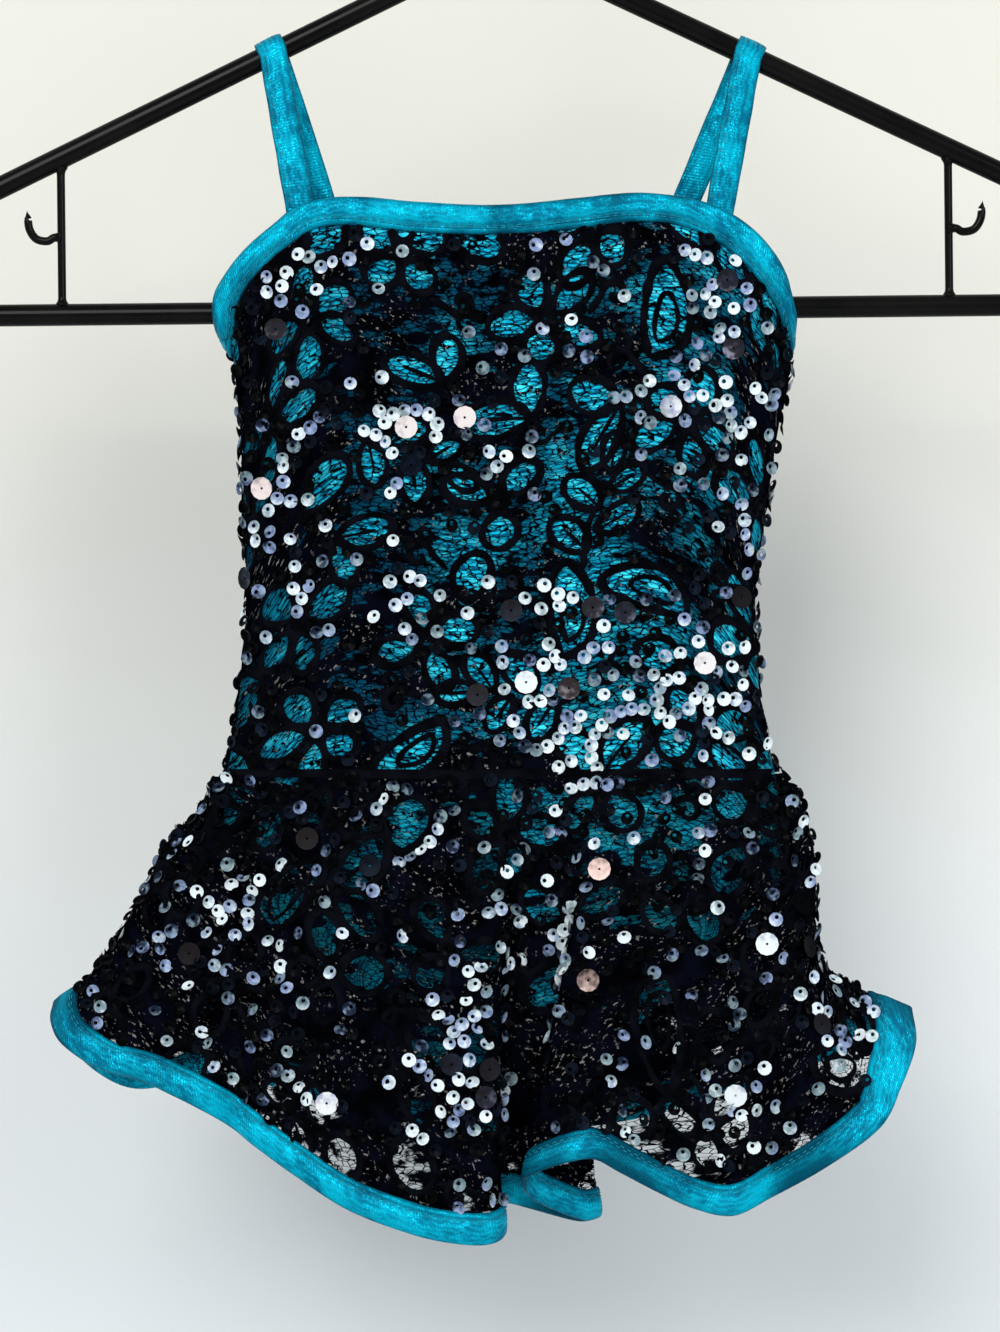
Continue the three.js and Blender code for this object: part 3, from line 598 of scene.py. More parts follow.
def jersey_group():
    """Fleck is a mask, Shade the depth of the colour and Height the relief of film and knit."""
    tree, given, result = group("ShaderNodeTree", "foil_jersey", {
        "Cloth": "Vector", "Fleck size mm": 1.1, "Film": 0.6, "Streak": 0.5, "Rib": 0.0,
        "Crinkle": 0.0}, {"Fleck": "Float", "Shade": "Float", "Height": "Float"})
    cloth = given["Cloth"]
    stretch = add(tree, "ShaderNodeCombineXYZ", {0: given["Streak"], 1: 1.0, 2: 1.0})
    place = add(tree, "ShaderNodeVectorMath", {0: cloth, 1: stretch}, operation="MULTIPLY")
    per_fleck = maths(tree, "DIVIDE", 1000.0, given["Fleck size mm"])
    cells = add(tree, "ShaderNodeTexVoronoi", {"Vector": place, "Scale": per_fleck}, out=1)
    cell = add(tree, "ShaderNodeSeparateColor", {"Color": cells})
    clouds = noise(tree, place, 330.0, 4.0)
    patches = noise(tree, cloth, 55.0, 2.0)
    lit = maths(tree, "MULTIPLY", cell, between(tree, clouds, 0.36, 0.6))
    # Shade: a mottle of patches and clouds, partly the film's own tone and partly painted sheen.
    shade = maths(tree, "MULTIPLY_ADD", patches, 0.85, maths(tree, "MULTIPLY", clouds, 0.35))
    # Painted shade: level wavy bands darken the colour along the crinkles of the film.
    lines = add(tree, "ShaderNodeTexWave", {
        "Vector": cloth, "Scale": CRINKLE_SCALE, "Distortion": 7.0, "Detail": 2.0,
        "Detail Scale": 1.4}, bands_direction="Y")
    waves = maths(tree, "MULTIPLY", maths(tree, "SUBTRACT", lines, 0.55), given["Crinkle"])
    course = scaled(tree, cloth, 1.0, 0.62, 1.0)
    knit = add(tree, "ShaderNodeTexVoronoi", {"Vector": course, "Scale": 2600.0})
    height = maths(tree, "MULTIPLY_ADD", cell, given["Film"], maths(tree, "MULTIPLY", knit, -0.8))
    ribs = add(tree, "ShaderNodeTexWave", {"Vector": cloth, "Scale": RIB_SCALE, "Distortion": 1.5})
    ribbed = maths(tree, "MULTIPLY_ADD", ribs, given["Rib"], height)
    feed(tree, result, {
        "Fleck": between(tree, lit, 0.15, 0.8), "Shade": maths(tree, "ADD", shade, waves),
        "Height": maths(tree, "ADD", ribbed, clouds)})
    return tree


JERSEY = jersey_group()
print("groups:", [g.name for g in bpy.data.node_groups])

# %% Starting a material
def finish(name, **constants):
    """A material with its Principled shader, whose constant inputs are set by name."""
    material = bpy.data.materials.new(name)
    material.use_nodes = True
    shader = next(n for n in material.node_tree.nodes if n.type == "BSDF_PRINCIPLED")
    for key, value in constants.items():
        shader.inputs[key.replace("_", " ")].default_value = value
    return material, material.node_tree, shader.inputs


def cloth_map(tree):
    return add(tree, "ShaderNodeUVMap", uv_map="cloth")


def marked(tree, name, out=2):
    """What mark stored for each point: output 2 for a number and 1 for a vector."""
    return add(tree, "ShaderNodeAttribute", out=out, attribute_name=name)


def use_group(tree, made, inputs, out):
    node = tree.nodes.new("ShaderNodeGroup")
    node.node_tree = made
    feed(tree, node.inputs, inputs)
    return [node.outputs[name] for name in out]


def bumped(tree, height, distance, strength=0.6):
    inputs = {"Height": height, "Distance": distance, "Strength": strength}
    return add(tree, "ShaderNodeBump", inputs)


# %% Foil jersey and binding
SHADED = 0.45  # how much of the deepest colour is left where no light falls


def jersey_finish(name, deep, bright, glint, flecks, shine, roughness, shadow, specular):
    """flecks sets the inputs of the group. The mark "edge" says how far a place is in shadow."""
    material, tree, shader = finish(name, Specular_IOR_Level=specular)
    inputs = {**flecks, "Cloth": cloth_map(tree)}
    fleck, shade, height = use_group(tree, JERSEY, inputs, ["Fleck", "Shade", "Height"])
    base = mix_colour(tree, between(tree, shade, 0.42, 0.78), deep, bright)
    tint = mix_colour(tree, maths(tree, "MULTIPLY", fleck, flecks["Film"]), base, glint)
    # Painted shade: the mark "edge" pulls the colour towards the deepest one, where shade falls on
    # the cloth.
    hidden = maths(tree, "MULTIPLY", marked(tree, "edge"), shadow)
    feed(tree, shader, {
        "Base Color": mix_colour(tree, hidden, tint, [SHADED * part for part in deep]),
        "Roughness": maths(tree, "MULTIPLY_ADD", fleck, -0.15, roughness),
        "Metallic": maths(tree, "MULTIPLY_ADD", fleck, shine, 0.5 * shine),
        "Normal": bumped(tree, height, 0.25 * MM)})
    return material


FOIL = jersey_finish(
    "foil_jersey", (0.0004, 0.085, 0.17), (0.001, 0.45, 0.69), (0.05, 0.80, 1.0),
    {"Fleck size mm": 1.3, "Film": 0.75, "Streak": 0.3, "Rib": 0.0, "Crinkle": 0.5},
    shine=0.2, roughness=0.4, shadow=0.92, specular=0.02)
BINDING = jersey_finish(
    "binding_jersey", (0.0003, 0.13, 0.23), (0.001, 0.42, 0.60), (0.006, 0.56, 0.78),
    {"Fleck size mm": 0.5, "Film": 0.28, "Streak": 0.7, "Rib": 0.7, "Crinkle": 0.1},
    shine=0.45, roughness=0.4, shadow=0.75, specular=0.03)
print("materials:", FOIL.name, BINDING.name)

# %% [markdown]
# ## Black paint for the hanger
# The tube is dipped in glossy black paint, which pools a little and leaves faint orange peel.

# %% Hanger paint
def place_of(tree):
    """A point's own place on its object, in metres."""
    return add(tree, "ShaderNodeTexCoord", out=3)


def paint_finish():
    material, tree, shader = finish(
        "hanger_paint", Coat_Weight=0.11, Coat_Roughness=0.09, Specular_IOR_Level=0.04)
    peel, wear_and_shade = noise(tree, place_of(tree), 420.0, 2.0), noise(tree, place_of(tree), 38.0, 4.0)
    black, grey = (0.0015, 0.0015, 0.0015), (0.0035, 0.0033, 0.003)
    feed(tree, shader, {
        "Base Color": mix_colour(tree, between(tree, wear_and_shade, 0.35, 0.7), black, grey),
        "Roughness": between(tree, wear_and_shade, 0.3, 0.75, 0.24, 0.38),
        "Normal": bumped(tree, peel, 0.05 * MM, 0.4)})
    return material


PAINT = paint_finish()
print("paint:", PAINT.name)

# %% [markdown]
# ## The leotard
# The jersey lies 0.3 mm inside the lace. It runs in one piece from the top binding to the crotch,
# front and back alike, and shows through the net of the bodice and dimly through the skirt.

# %% Leotard shells
JERSEY_INSIDE, JERSEY_OUTSIDE = 0.5 * MM, 1.2 * MM
SIDES = {"front": FRONT, "back": BACK}
leotard = {
    side: shell(f"leotard_{side}_cloth", cloth, 0, LAST_ROW, JERSEY_INSIDE, JERSEY_OUTSIDE, FOIL)
    for side, cloth in SIDES.items()
}
for obj in leotard.values():
    print(obj.name, len(obj.data.polygons), "faces")

# %% [markdown]
# ## Folded bindings
# A binding is a strip of jersey folded over the raw edge and stitched through. Its section is a
# flat loop: out over the front, round the fold and back inside. Sweeping that loop along the edge
# of a panel makes the whole band, and the panel's own grid keeps it on the creases.

# %% Bands along a panel
TOP_SECTION = [  # share of the width from the seam to the fold, and millimetres out from the inside
    (-0.07, 1.6), (-0.03, 2.3), (0.03, 2.55), (0.08, 2.3), (0.14, 2.15), (0.22, 2.5),
    (0.38, 2.85), (0.55, 3.0), (0.72, 2.95), (0.86, 2.7), (0.94, 2.35), (0.985, 1.9),
    (1.0, 1.4), (0.985, 0.8), (0.9, 0.3), (0.5, 0.1), (0.0, 0.1), (-0.07, 0.3),
]
HEM_FACE = [
    (-0.07, 0.35), (-0.03, 0.9), (0.03, 1.1), (0.08, 0.9), (0.14, 0.8), (0.22, 1.0),
    (0.38, 1.25), (0.55, 1.3), (0.72, 1.25), (0.86, 1.05), (0.94, 0.8), (0.985, 0.45),
]
BAND_SHADE = [  # share of the width, and how much painted shade darkens the cloth there, at its rounded edges and stitching groove
    (-0.07, 1.0), (0.02, 0.7), (0.1, 0.95), (0.17, 0.6), (0.3, 0.15), (0.42, 0.0), (0.6, 0.1),
    (0.72, 0.4), (0.8, 0.2), (0.9, 0.5), (1.0, 1.0),
]


def turned_back(face):
    """The other face of a folded strip, walked the other way."""
    return [(share, -out) for share, out in face[::-1]]


HEM_SECTION = [*HEM_FACE, (1.0, 0.0), *turned_back(HEM_FACE)]


def grid_sample(cloth, row):
    """Points, normals and lengths of a panel's grid at any row, one for each column."""
    at = np.interp(row, cloth.row, np.arange(len(cloth.row)))
    low = min(int(at), len(cloth.row) - 2)
    share = at - low
    fields = cloth.points, cloth.normals, cloth.across, cloth.down
    return [lerp(field[:, low], field[:, low + 1], share) for field in fields]


def swept(name, rails, uv, shade):
    """A closed band from the lines that the corners of its section draw along it."""
    points, places = np.stack(rails, 1).reshape(-1, 3), np.stack(uv, 1).reshape(-1, 2)
    faces = tube_faces(len(rails[0]), len(rails))
    marks = {"edge": shade.ravel()}
    return facing_out(mesh_object(name, points, faces, places, BINDING, marks=marks))


def band(name, cloth, seam_row, fold_row, section, painted_shade, swing):
    """A folded band. It swells and sinks a little along the edge, and painted shade darkens its
    colour.
    """
    seam, fold = grid_sample(cloth, seam_row)[0], grid_sample(cloth, fold_row)[0]
    width = np.linalg.norm(fold - seam, axis=1)
    walked = np.zeros(len(cloth.u))
    rails, uv = [], []
    for number, (share, out) in enumerate(section):
        p, n, across, _ = grid_sample(cloth, lerp(seam_row, fold_row, share))
        puff = 0.18 * wobble(across / MM / 6, number / 3 + 7, 31)
        puff += 0.12 * wobble(across / MM / 2.2, number / 2 + 3, 32)
        rails.append(p + n * (out + puff * np.clip(out, -1, 1))[:, None] * MM)
        before = section[number - 1] if number else section[0]
        walked = walked + np.hypot((share - before[0]) * width, (out - before[1]) * MM)
        uv.append(np.stack([across, walked], -1))
    # Painted shade: darker at the rounded edges and in the stitching groove, darker all over by the
    # second number given, and lighter and darker in turns along the band, as light would fall on
    # its folds.
    wear_and_shade = np.interp([share for share, _ in section], *zip(*BAND_SHADE))
    turns = wobble(cloth.across[:, 0] / MM / 8, 2.0, 33)[:, None]
    shade = wear_and_shade + painted_shade + swing * np.sign(turns) * np.abs(turns) ** 0.6
    return swept(name, rails, uv, np.clip(shade, 0, 1.3))


top_binding = {
    side: band(f"top_binding_{side}_cloth", cloth, 0, -1, TOP_SECTION, 0.0, 0.4)
    for side, cloth in SIDES.items()
}
SKIRTS = {"front": SKIRT_FRONT, "back": SKIRT_BACK}
HEM_ROWS = SKIRT_ROWS, SKIRT_ROWS + 1
# The hem has more painted shade, as it faces down, and stronger painted light and shade in turns
# along it.
hem_binding = {
    side: band(f"hem_binding_{side}_cloth", cloth, *HEM_ROWS, HEM_SECTION, 0.2, 0.9)
    for side, cloth in SKIRTS.items()
}
print("bindings:", [o.name for o in (*top_binding.values(), *hem_binding.values())])

# %% [markdown]
# ## The hanger
# The hanger is one bent tube, closed into a flat triangle with rounded shoulders, with two thin
# drop rods, their side hooks and the top hook welded on. Everything lies in one upright plane, so
# a ring of points is swept along each line in that plane. Radii grow where a weld bead sits.

# %% Sizes of the hanger
APEX_DROP, BAR_DROP = 70 * MM, 204.1 * MM
TUBE, ROD, WIRE = 8 * MM, 3 * MM, 4.5 * MM
SLOPE, TILT = math.radians(25.6), math.radians(0.6)
BEND, ROD_AT, SIDE_HOOK_DROP, HOOK_INSIDE = 17 * MM, 161 * MM, 176 * MM, 19 * MM
corner_at = (BAR_DROP - APEX_DROP) / math.tan(SLOPE)
tangent = BEND / math.tan(SLOPE / 2)
bar_half = corner_at - tangent
hang = Matrix.Rotation(-TILT, 4, "Y")
print("hanger bar", round(2 * bar_half / MM), "mm between its bends")


def arm_drop(x):
    return APEX_DROP + abs(x) * math.tan(SLOPE)


# %% Tubes in the hanger's plane
def flat_tube(route, radii, sides, looped=False):
    """Rings of points and faces round a line of (x, drop) points in the plane of the hanger."""
    line = np.asarray(route, float) * (1, -1)
    ahead = np.roll(line, -1, 0) - line
    if not looped:
        ahead[-1] = ahead[-2]
    ahead /= np.linalg.norm(ahead, axis=1, keepdims=True)
    behind = np.roll(ahead, 1, 0)
    if not looped:
        behind[0] = ahead[0]
    way = ahead + behind
    way /= np.linalg.norm(way, axis=1, keepdims=True)
    stretch = 1 / np.maximum(np.einsum("ij,ij->i", way, ahead), 0.5)
    side = np.stack([-way[:, 1], way[:, 0]], 1) * stretch[:, None]
    turn = np.arange(sides) * TAU / sides
    radii = np.broadcast_to(radii, len(line))[:, None]
    x = line[:, 0:1] + side[:, 0:1] * radii * np.cos(turn)
    z = line[:, 1:2] + side[:, 1:2] * radii * np.cos(turn)
    y = np.broadcast_to(radii * np.sin(turn), x.shape)
    return np.stack([x, y, z], -1).reshape(-1, 3), tube_faces(len(line), sides, looped)


def joined(parts):
    """Several (points, faces) pairs as one."""
    points, faces, start = [], [], 0
    for p, f in parts:
        points.append(p)
        faces += [[start + k for k in face] for face in f]
        start += len(p)
    return np.concatenate(points), faces


def hanger_piece(name, parts, nodes):
    points, faces = joined(parts)
    obj = mesh_object(name, points, faces, material=PAINT)
    obj.data.transform(hang)
    facing_out(obj)
    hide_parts(*nodes)
    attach(obj, "root")
    return obj


def rounded_end(start, end, radius, steps=4):
    """Points and radii that round off the end of a rod which runs from start to end."""
    start, end = np.array(start), np.array(end)
    way = (end - start) / np.linalg.norm(end - start)
    turn = np.linspace(0, 1, steps + 1) * math.pi / 2
    points = [tuple(end - way * radius * (1 - math.sin(t))) for t in turn]
    return points, radius * np.cos(turn) + 1e-5


# %% The frame tube
def frame_route():
    route = [(0.0, APEX_DROP)]
    arm_end = corner_at - tangent * math.cos(SLOPE)
    arm = [(x, arm_drop(x)) for x in np.linspace(0, arm_end, 12)[1:]]
    turn = np.linspace(math.pi - SLOPE, 0, 15) - math.pi / 2
    bend = [(bar_half + BEND * math.cos(t), BAR_DROP - BEND - BEND * math.sin(t)) for t in turn]
    right = arm + bend[1:]
    route += right + [(x, BAR_DROP) for x in np.linspace(bar_half, -bar_half, 25)[1:-1]]
    return route + [(-x, drop) for x, drop in right[::-1]]


hanger_frame = hanger_piece(
    "hanger_frame_tube", [flat_tube(frame_route(), TUBE / 2, 28, looped=True)],
    ["arm_left", "arm_right", "bend_left", "bend_right", "bar"],
)
print("hanger tube:", len(hanger_frame.data.polygons), "faces")


# %% Drop rods and side hooks
WELD, WELD_REACH = 1.1 * MM, 1.3 * MM
INTO_TUBE, HOOK_INTO_TUBE = 3.4 * MM, 3.6 * MM  # how far off the tube's middle line a rod ends
# A side hook, in millimetres out and down from where it leaves its rod.
SIDE_HOOK = [(0, 0), (2.8, 0.1), (5.2, 1.3), (9.2, 0.4), (11.6, -3.2), (12.2, -8)]
NECK_AT, NECK_PULL, HOOK_PULL = 54 * MM, 42 * MM, 12 * MM


def welded(route, radius, both=True):
    """Radii along a rod with a weld bead at its first end, or at both."""
    walked = walked_along(np.asarray(route))
    bead = np.exp(-((walked / WELD_REACH) ** 2))
    if both:
        bead += np.exp(-(((walked[-1] - walked) / WELD_REACH) ** 2))
    return radius + WELD * bead


def through(points, count):
    """A smooth route through (x, drop) points."""
    points = np.array(points)
    table = {"x": points[:, 0], "drop": points[:, 1]}
    at = path(table)(np.linspace(0, 1, count))
    return list(zip(at["x"], at["drop"]))


rods = []
for sign in (-1, 1):
    rod_x = sign * ROD_AT
    top, bottom = arm_drop(rod_x) + INTO_TUBE, BAR_DROP - INTO_TUBE
    line = [(rod_x, drop) for drop in np.concatenate([
        np.linspace(top, top + 4 * MM, 8), np.linspace(top + 6 * MM, bottom - 6 * MM, 6),
        np.linspace(bottom - 4 * MM, bottom, 8)])]
    rods.append(flat_tube(line, welded(line, ROD / 2), 16))
    reach = [(rod_x + sign * x * MM, SIDE_HOOK_DROP + drop * MM) for x, drop in SIDE_HOOK]
    line = through(reach, 28)
    tip, shrink = rounded_end(line[-2], line[-1], ROD / 2)
    radii = np.concatenate([welded(line[:-1], ROD / 2, both=False), shrink])
    rods.append(flat_tube(line[:-1] + tip, radii, 16))
hanger_rods = hanger_piece(
    "hanger_rods_and_side_hooks", rods,
    ["drop_rod_left", "drop_rod_right", "side_hook_left", "side_hook_right"],
)
print("rods and side hooks:", len(hanger_rods.data.polygons), "faces")

# %% The top hook
def hook_route():
    """Most of a circle, then an S down to the middle of the frame."""
    radius = HOOK_INSIDE + WIRE / 2
    turn = np.radians(np.linspace(200, -32, 48))
    around = [(radius * math.cos(t), HOOK_INSIDE - radius * math.sin(t)) for t in turn]
    leave, above, neck = Vector(around[-1]), Vector((0, NECK_PULL)), Vector((0, NECK_AT))
    pull = leave + Vector((math.sin(turn[-1]), math.cos(turn[-1]))) * HOOK_PULL
    s_bend = []
    for t in np.linspace(0, 1, 14)[1:]:
        low, middle, high = leave.lerp(pull, t), pull.lerp(above, t), above.lerp(neck, t)
        s_bend.append(tuple(low.lerp(middle, t).lerp(middle.lerp(high, t), t)))
    foot = APEX_DROP - HOOK_INTO_TUBE
    return around + s_bend + [(0, drop) for drop in np.linspace(neck.y, foot, 14)[1:]]


line = hook_route()
tip, shrink = rounded_end(line[1], line[0], WIRE / 2)
radii = np.concatenate([shrink[::-1], welded(line[1:][::-1], WIRE / 2, both=False)[::-1]])
wire = flat_tube(tip[::-1] + line[1:], radii, 20)
hanger_hook = hanger_piece("hanger_top_hook", [wire], ["hook"])
print("hanger pieces:", hanger_frame.name, hanger_rods.name, hanger_hook.name)

# %% [markdown]
# ## The straps
# Each strap is a band of binding. It leaves the inside of the neckline, passes over an arm of the
# hanger and goes down to the inside of the back, so it is one ribbon swept along that line.

# %% The line of a strap
STRAP_WIDTH, STRAP_THICK = 10.4 * MM, 1.6 * MM
STRAPS = {  # in millimetres: x at the front, on the arm and at the back
    "strap_left": {"side": -1, "front": -71.3, "front_drop": 173.5, "arm": -83.4, "back": -59.4},
    "strap_right": {"side": 1, "front": 78.0, "front_drop": 175.5, "arm": 88.6, "back": 60.5},
}
STRAP_BACK_DROP = 181.5
STRAP_INSET = GAP + STRAP_THICK / 2 + 0.4 * MM


def unit(vector):
    return vector / np.linalg.norm(vector)


def strap_line(side, front, front_drop, arm, back):
    """Stations of a strap: the middle of the band, the way across it and the way out of it."""
    on_arm = np.array(hang @ Vector((arm * MM, 0, -arm_drop(arm * MM))))
    lean = SLOPE - side * TILT
    arm_way = np.array([math.cos(lean), 0, -side * math.sin(lean)])
    arm_up = np.array([side * math.sin(lean), 0, math.cos(lean)])
    loop = TUBE / 2 + GAP + STRAP_THICK / 2
    ends = []
    for x, drop, face in ((front, front_drop, -1), (back, STRAP_BACK_DROP, 1)):
        place = body_point(angle_of(x * MM, drop * MM), drop * MM, face)
        ends.append(np.array([x * MM, place[1] - face * STRAP_INSET, place[2]]))

    def over(turn):
        return on_arm + arm_up * loop * math.sin(turn) + np.array([0, -loop * math.cos(turn), 0])

    level = np.array([1.0, 0, 0])
    middles, ways = [], []
    for t in np.linspace(0, 1, 31)[:-1]:
        middles.append(lerp(ends[0], over(0), t))
        ways.append(unit(lerp(level, arm_way, t)))
    for turn in np.linspace(0, math.pi, 25):
        middles.append(over(turn))
        ways.append(arm_way)
    for t in np.linspace(0, 1, 31)[1:]:
        middles.append(lerp(over(math.pi), ends[1], t))
        ways.append(unit(lerp(arm_way, level, t)))
    middles, ways = np.array(middles), np.array(ways)
    along = np.gradient(middles, axis=0)
    out = np.cross(ways, along)
    out /= np.linalg.norm(out, axis=1, keepdims=True)
    return middles, ways, out


strap_lines = {name: strap_line(**sizes) for name, sizes in STRAPS.items()}
lengths = [round(walked_along(middles)[-1] / MM) for middles, *_ in strap_lines.values()]
print("straps:", lengths, "mm long")

# %% Sewing the straps
STRAP_FACE = [  # share of half the width, and millimetres out from the middle of the band
    (-0.96, 0.42), (-0.88, 0.62), (-0.78, 0.66), (-0.7, 0.5), (-0.6, 0.6), (-0.3, 0.85),
    (0.1, 0.9), (0.5, 0.85), (0.8, 0.68), (0.96, 0.4),
]
STRAP_SECTION = [(-1.0, 0.0), *STRAP_FACE, (1.0, 0.0), *turned_back(STRAP_FACE)]


def strap(name, line):
    middles, ways, out = line
    walked = walked_along(middles)
    rails, uv = [], []
    around = 0.0
    for number, (share, lift) in enumerate(STRAP_SECTION):
        wander = 1 + 0.03 * wobble(walked / MM / 9, share * 2 + 5, 41)
        swell = 0.14 * wobble(walked / MM / 4, number / 3 + 2, 42)
        across = ways * (share * wander * STRAP_WIDTH / 2)[:, None]
        rails.append(middles + across + out * ((lift + swell * np.sign(lift)) * MM)[:, None])
        before = STRAP_SECTION[number - 1] if number else STRAP_SECTION[0]
        around += math.hypot((share - before[0]) * STRAP_WIDTH / 2, (lift - before[1]) * MM)
        uv.append(np.stack([walked, np.full_like(walked, around)], -1))
    # Painted shade: the strap's colour darkens towards its rounded edges.
    wear_and_shade = np.clip(np.abs(np.array([share for share, _ in STRAP_SECTION])), 0, 1) ** 5
    return swept(name, rails, uv, np.tile(wear_and_shade, len(middles)))


straps = {name: strap(f"{name}_cloth", line) for name, line in strap_lines.items()}
print("straps:", [o.name for o in straps.values()])

# %% [markdown]
# ## Lace motifs
# Corded lace is a fine net with a heavy thread laid on it in leaves, petals and curls. Between the
# motifs the net is worked thick and black, and inside them it stays open, so the turquoise shows.
# The motifs are drawn flat in millimetres and wrapped onto the panel by its lengths, as a real
# lace would lie. Heavy threads are raised ribbons, because they catch light and cast shadows.

# %% Flat shapes, in millimetres
def leaf(length, width, bend=0.0):
    """An outline from its base at the origin up to its tip."""
    s = 0.5 - 0.5 * np.cos(np.linspace(0, np.pi, 13))
    profile = s**0.75 * (1 - s) ** 0.6
    half = width / 2 * profile / profile.max()
    middle = bend * s**2
    right = np.stack([middle + half, -s * length], 1)
    left = np.stack([middle - half, -s * length], 1)[::-1]
    return np.concatenate([right, left[1:-1]])


def vein(length, bend=0.0):
    s = np.linspace(0, 0.7, 7)
    return np.stack([bend * s**2, -s * length], 1)


def ring(radius):
    t = np.linspace(0, TAU, 14, endpoint=False)
    return np.stack([radius * np.cos(t), radius * np.sin(t)], 1)


def curl(size):
    t = np.linspace(0, 1, 26)
    turn = 2.6 * np.pi * t
    reach = size * (1 - t) ** 0.8
    ends = [(-1.6 * size, 1.5 * size), (-0.2 * size, 0.9 * size)]
    tail = np.linspace(*ends, 5)
    spiral = np.stack([reach * np.sin(turn - 0.6), reach * np.cos(turn - 0.6)], 1)
    return np.concatenate([tail, spiral])


def turned(points, angle, shift=(0, 0), size=1.0):
    c, s = math.cos(angle), math.sin(angle)
    return size * (points @ np.array([[c, s], [-s, c]])) + np.array(shift)


print("a leaf's outline has", len(leaf(20, 12)), "points")

# %% Six motifs
# A stroke is its line, its thread's width, whether it closes and whether its inside is open.
def blossom(draw):
    """Uneven petals round a small ring."""
    count = draw.integers(3, 6)
    strokes = [(ring(3.0), 2.2, True, False)]
    for k in range(count):
        angle = (k + draw.uniform(-0.15, 0.15)) * TAU / count
        petal = leaf(draw.uniform(13, 19), draw.uniform(10, 13.5), draw.uniform(-2, 3))
        foot = turned(np.array([[0, -3.4]]), angle)[0]
        strokes.append((turned(petal, angle, foot), draw.uniform(2.2, 2.9), True, True))
    return strokes


def paisley(draw):
    size = draw.uniform(0.85, 1.15)
    outer, inner = leaf(33, 19, 13) * size, leaf(17, 9, 6) * size + (0.8, -6)
    return [(outer + (0, 14), 3.0, True, True), (inner + (0, 14), 1.7, True, False)]


def spray(draw):
    stem = np.stack([3 * np.sin(np.linspace(0, 4, 14)), np.linspace(19, -16, 14)], 1)
    strokes = [(stem, 2.0, False, False)]
    for at, side in ((13, 1), (5, -1), (-3, 1), (-10, -1), (-16, 0.1)):
        size = draw.uniform(0.85, 1.15)
        place = (0.6 * side, at)
        strokes.append((turned(leaf(16, 9.5, 1.5), side * 0.95, place, size), 2.3, True, True))
        strokes.append((turned(vein(16, 1.5), side * 0.95, place, size), 1.1, False, False))
    return strokes


def leaf_pair(draw):
    long = draw.uniform(21, 27)
    first = turned(leaf(long, 0.55 * long, 3), 0.5, (0, 9))
    second = turned(leaf(0.8 * long, 0.5 * long, -2), -0.75, (-1, 9))
    middle = turned(vein(long, 3), 0.5, (0, 9))
    return [(first, 2.7, True, True), (second, 2.5, True, True), (middle, 1.2, False, False),
            (curl(4) + (3, 15), 1.9, False, False)]


def lone_petal(draw):
    petal = leaf(draw.uniform(16, 23), draw.uniform(12, 17), draw.uniform(-2, 4)) + (0, 9.5)
    tendril = turned(curl(3.2), draw.uniform(0, TAU), (7, 5))
    return [(petal, 2.6, True, True), (tendril, 1.7, False, False)]


def curls(draw):
    second = turned(curl(3.8), 2.4, (6.5, 4.5))
    return [(curl(5.2), 2.4, False, False), (second, 2.0, False, False)]


MOTIFS = {  # how a motif is drawn, the room it needs in millimetres, and its share of the attempts
    "blossom": (blossom, 20, 0.02), "spray": (spray, 19, 0.02), "paisley": (paisley, 17, 0.04),
    "leaf_pair": (leaf_pair, 16, 0.12), "lone_petal": (lone_petal, 12, 0.4),
    "curls": (curls, 8, 0.4),
}
print("motifs:", ", ".join(MOTIFS))


# %% Wrapping flat points onto a panel
def at_grid(field, i, j):
    """A field of the grid at fractional columns i and rows j."""
    a = np.clip(i.astype(int), 0, field.shape[0] - 2)
    b = np.clip(j.astype(int), 0, field.shape[1] - 2)
    s, t = i - a, j - b
    if field.ndim == 3:
        s, t = s[:, None], t[:, None]
    low = lerp(field[a, b], field[a + 1, b], s)
    return lerp(low, lerp(field[a, b + 1], field[a + 1, b + 1], s), t)


def wrap(cloth, i0, j0, flat):
    """Columns and rows of flat points (across, down), measured from one point of the grid."""
    j = np.interp(flat[:, 1], cloth.down[i0] - cloth.down[i0, j0], np.arange(len(cloth.row)))
    low = np.clip(j.astype(int), 0, len(cloth.row) - 2)
    across = lerp(cloth.across[:, low], cloth.across[:, low + 1], j - low)
    wanted = across[i0] + flat[:, 0]
    numbers = np.arange(len(cloth.u))
    return np.array([np.interp(w, across[:, k], numbers) for k, w in enumerate(wanted)]), j


def evenly(line, spacing, closed):
    """The same line with points at an even spacing."""
    if closed:
        line = np.concatenate([line, line[:1]])
    walked = walked_along(line)
    count = max(round(walked[-1] / spacing), 3)
    at = np.linspace(0, walked[-1], count + 1)
    return np.stack([np.interp(at, walked, line[:, k]) for k in (0, 1)], 1)


print("a leaf of 20 mm takes", len(evenly(leaf(20, 12), 1.5, True)), "points of thread")

# %% A raised thread
CORD_RISE = 0.55 * MM
CORD_STEP = 1.5  # millimetres


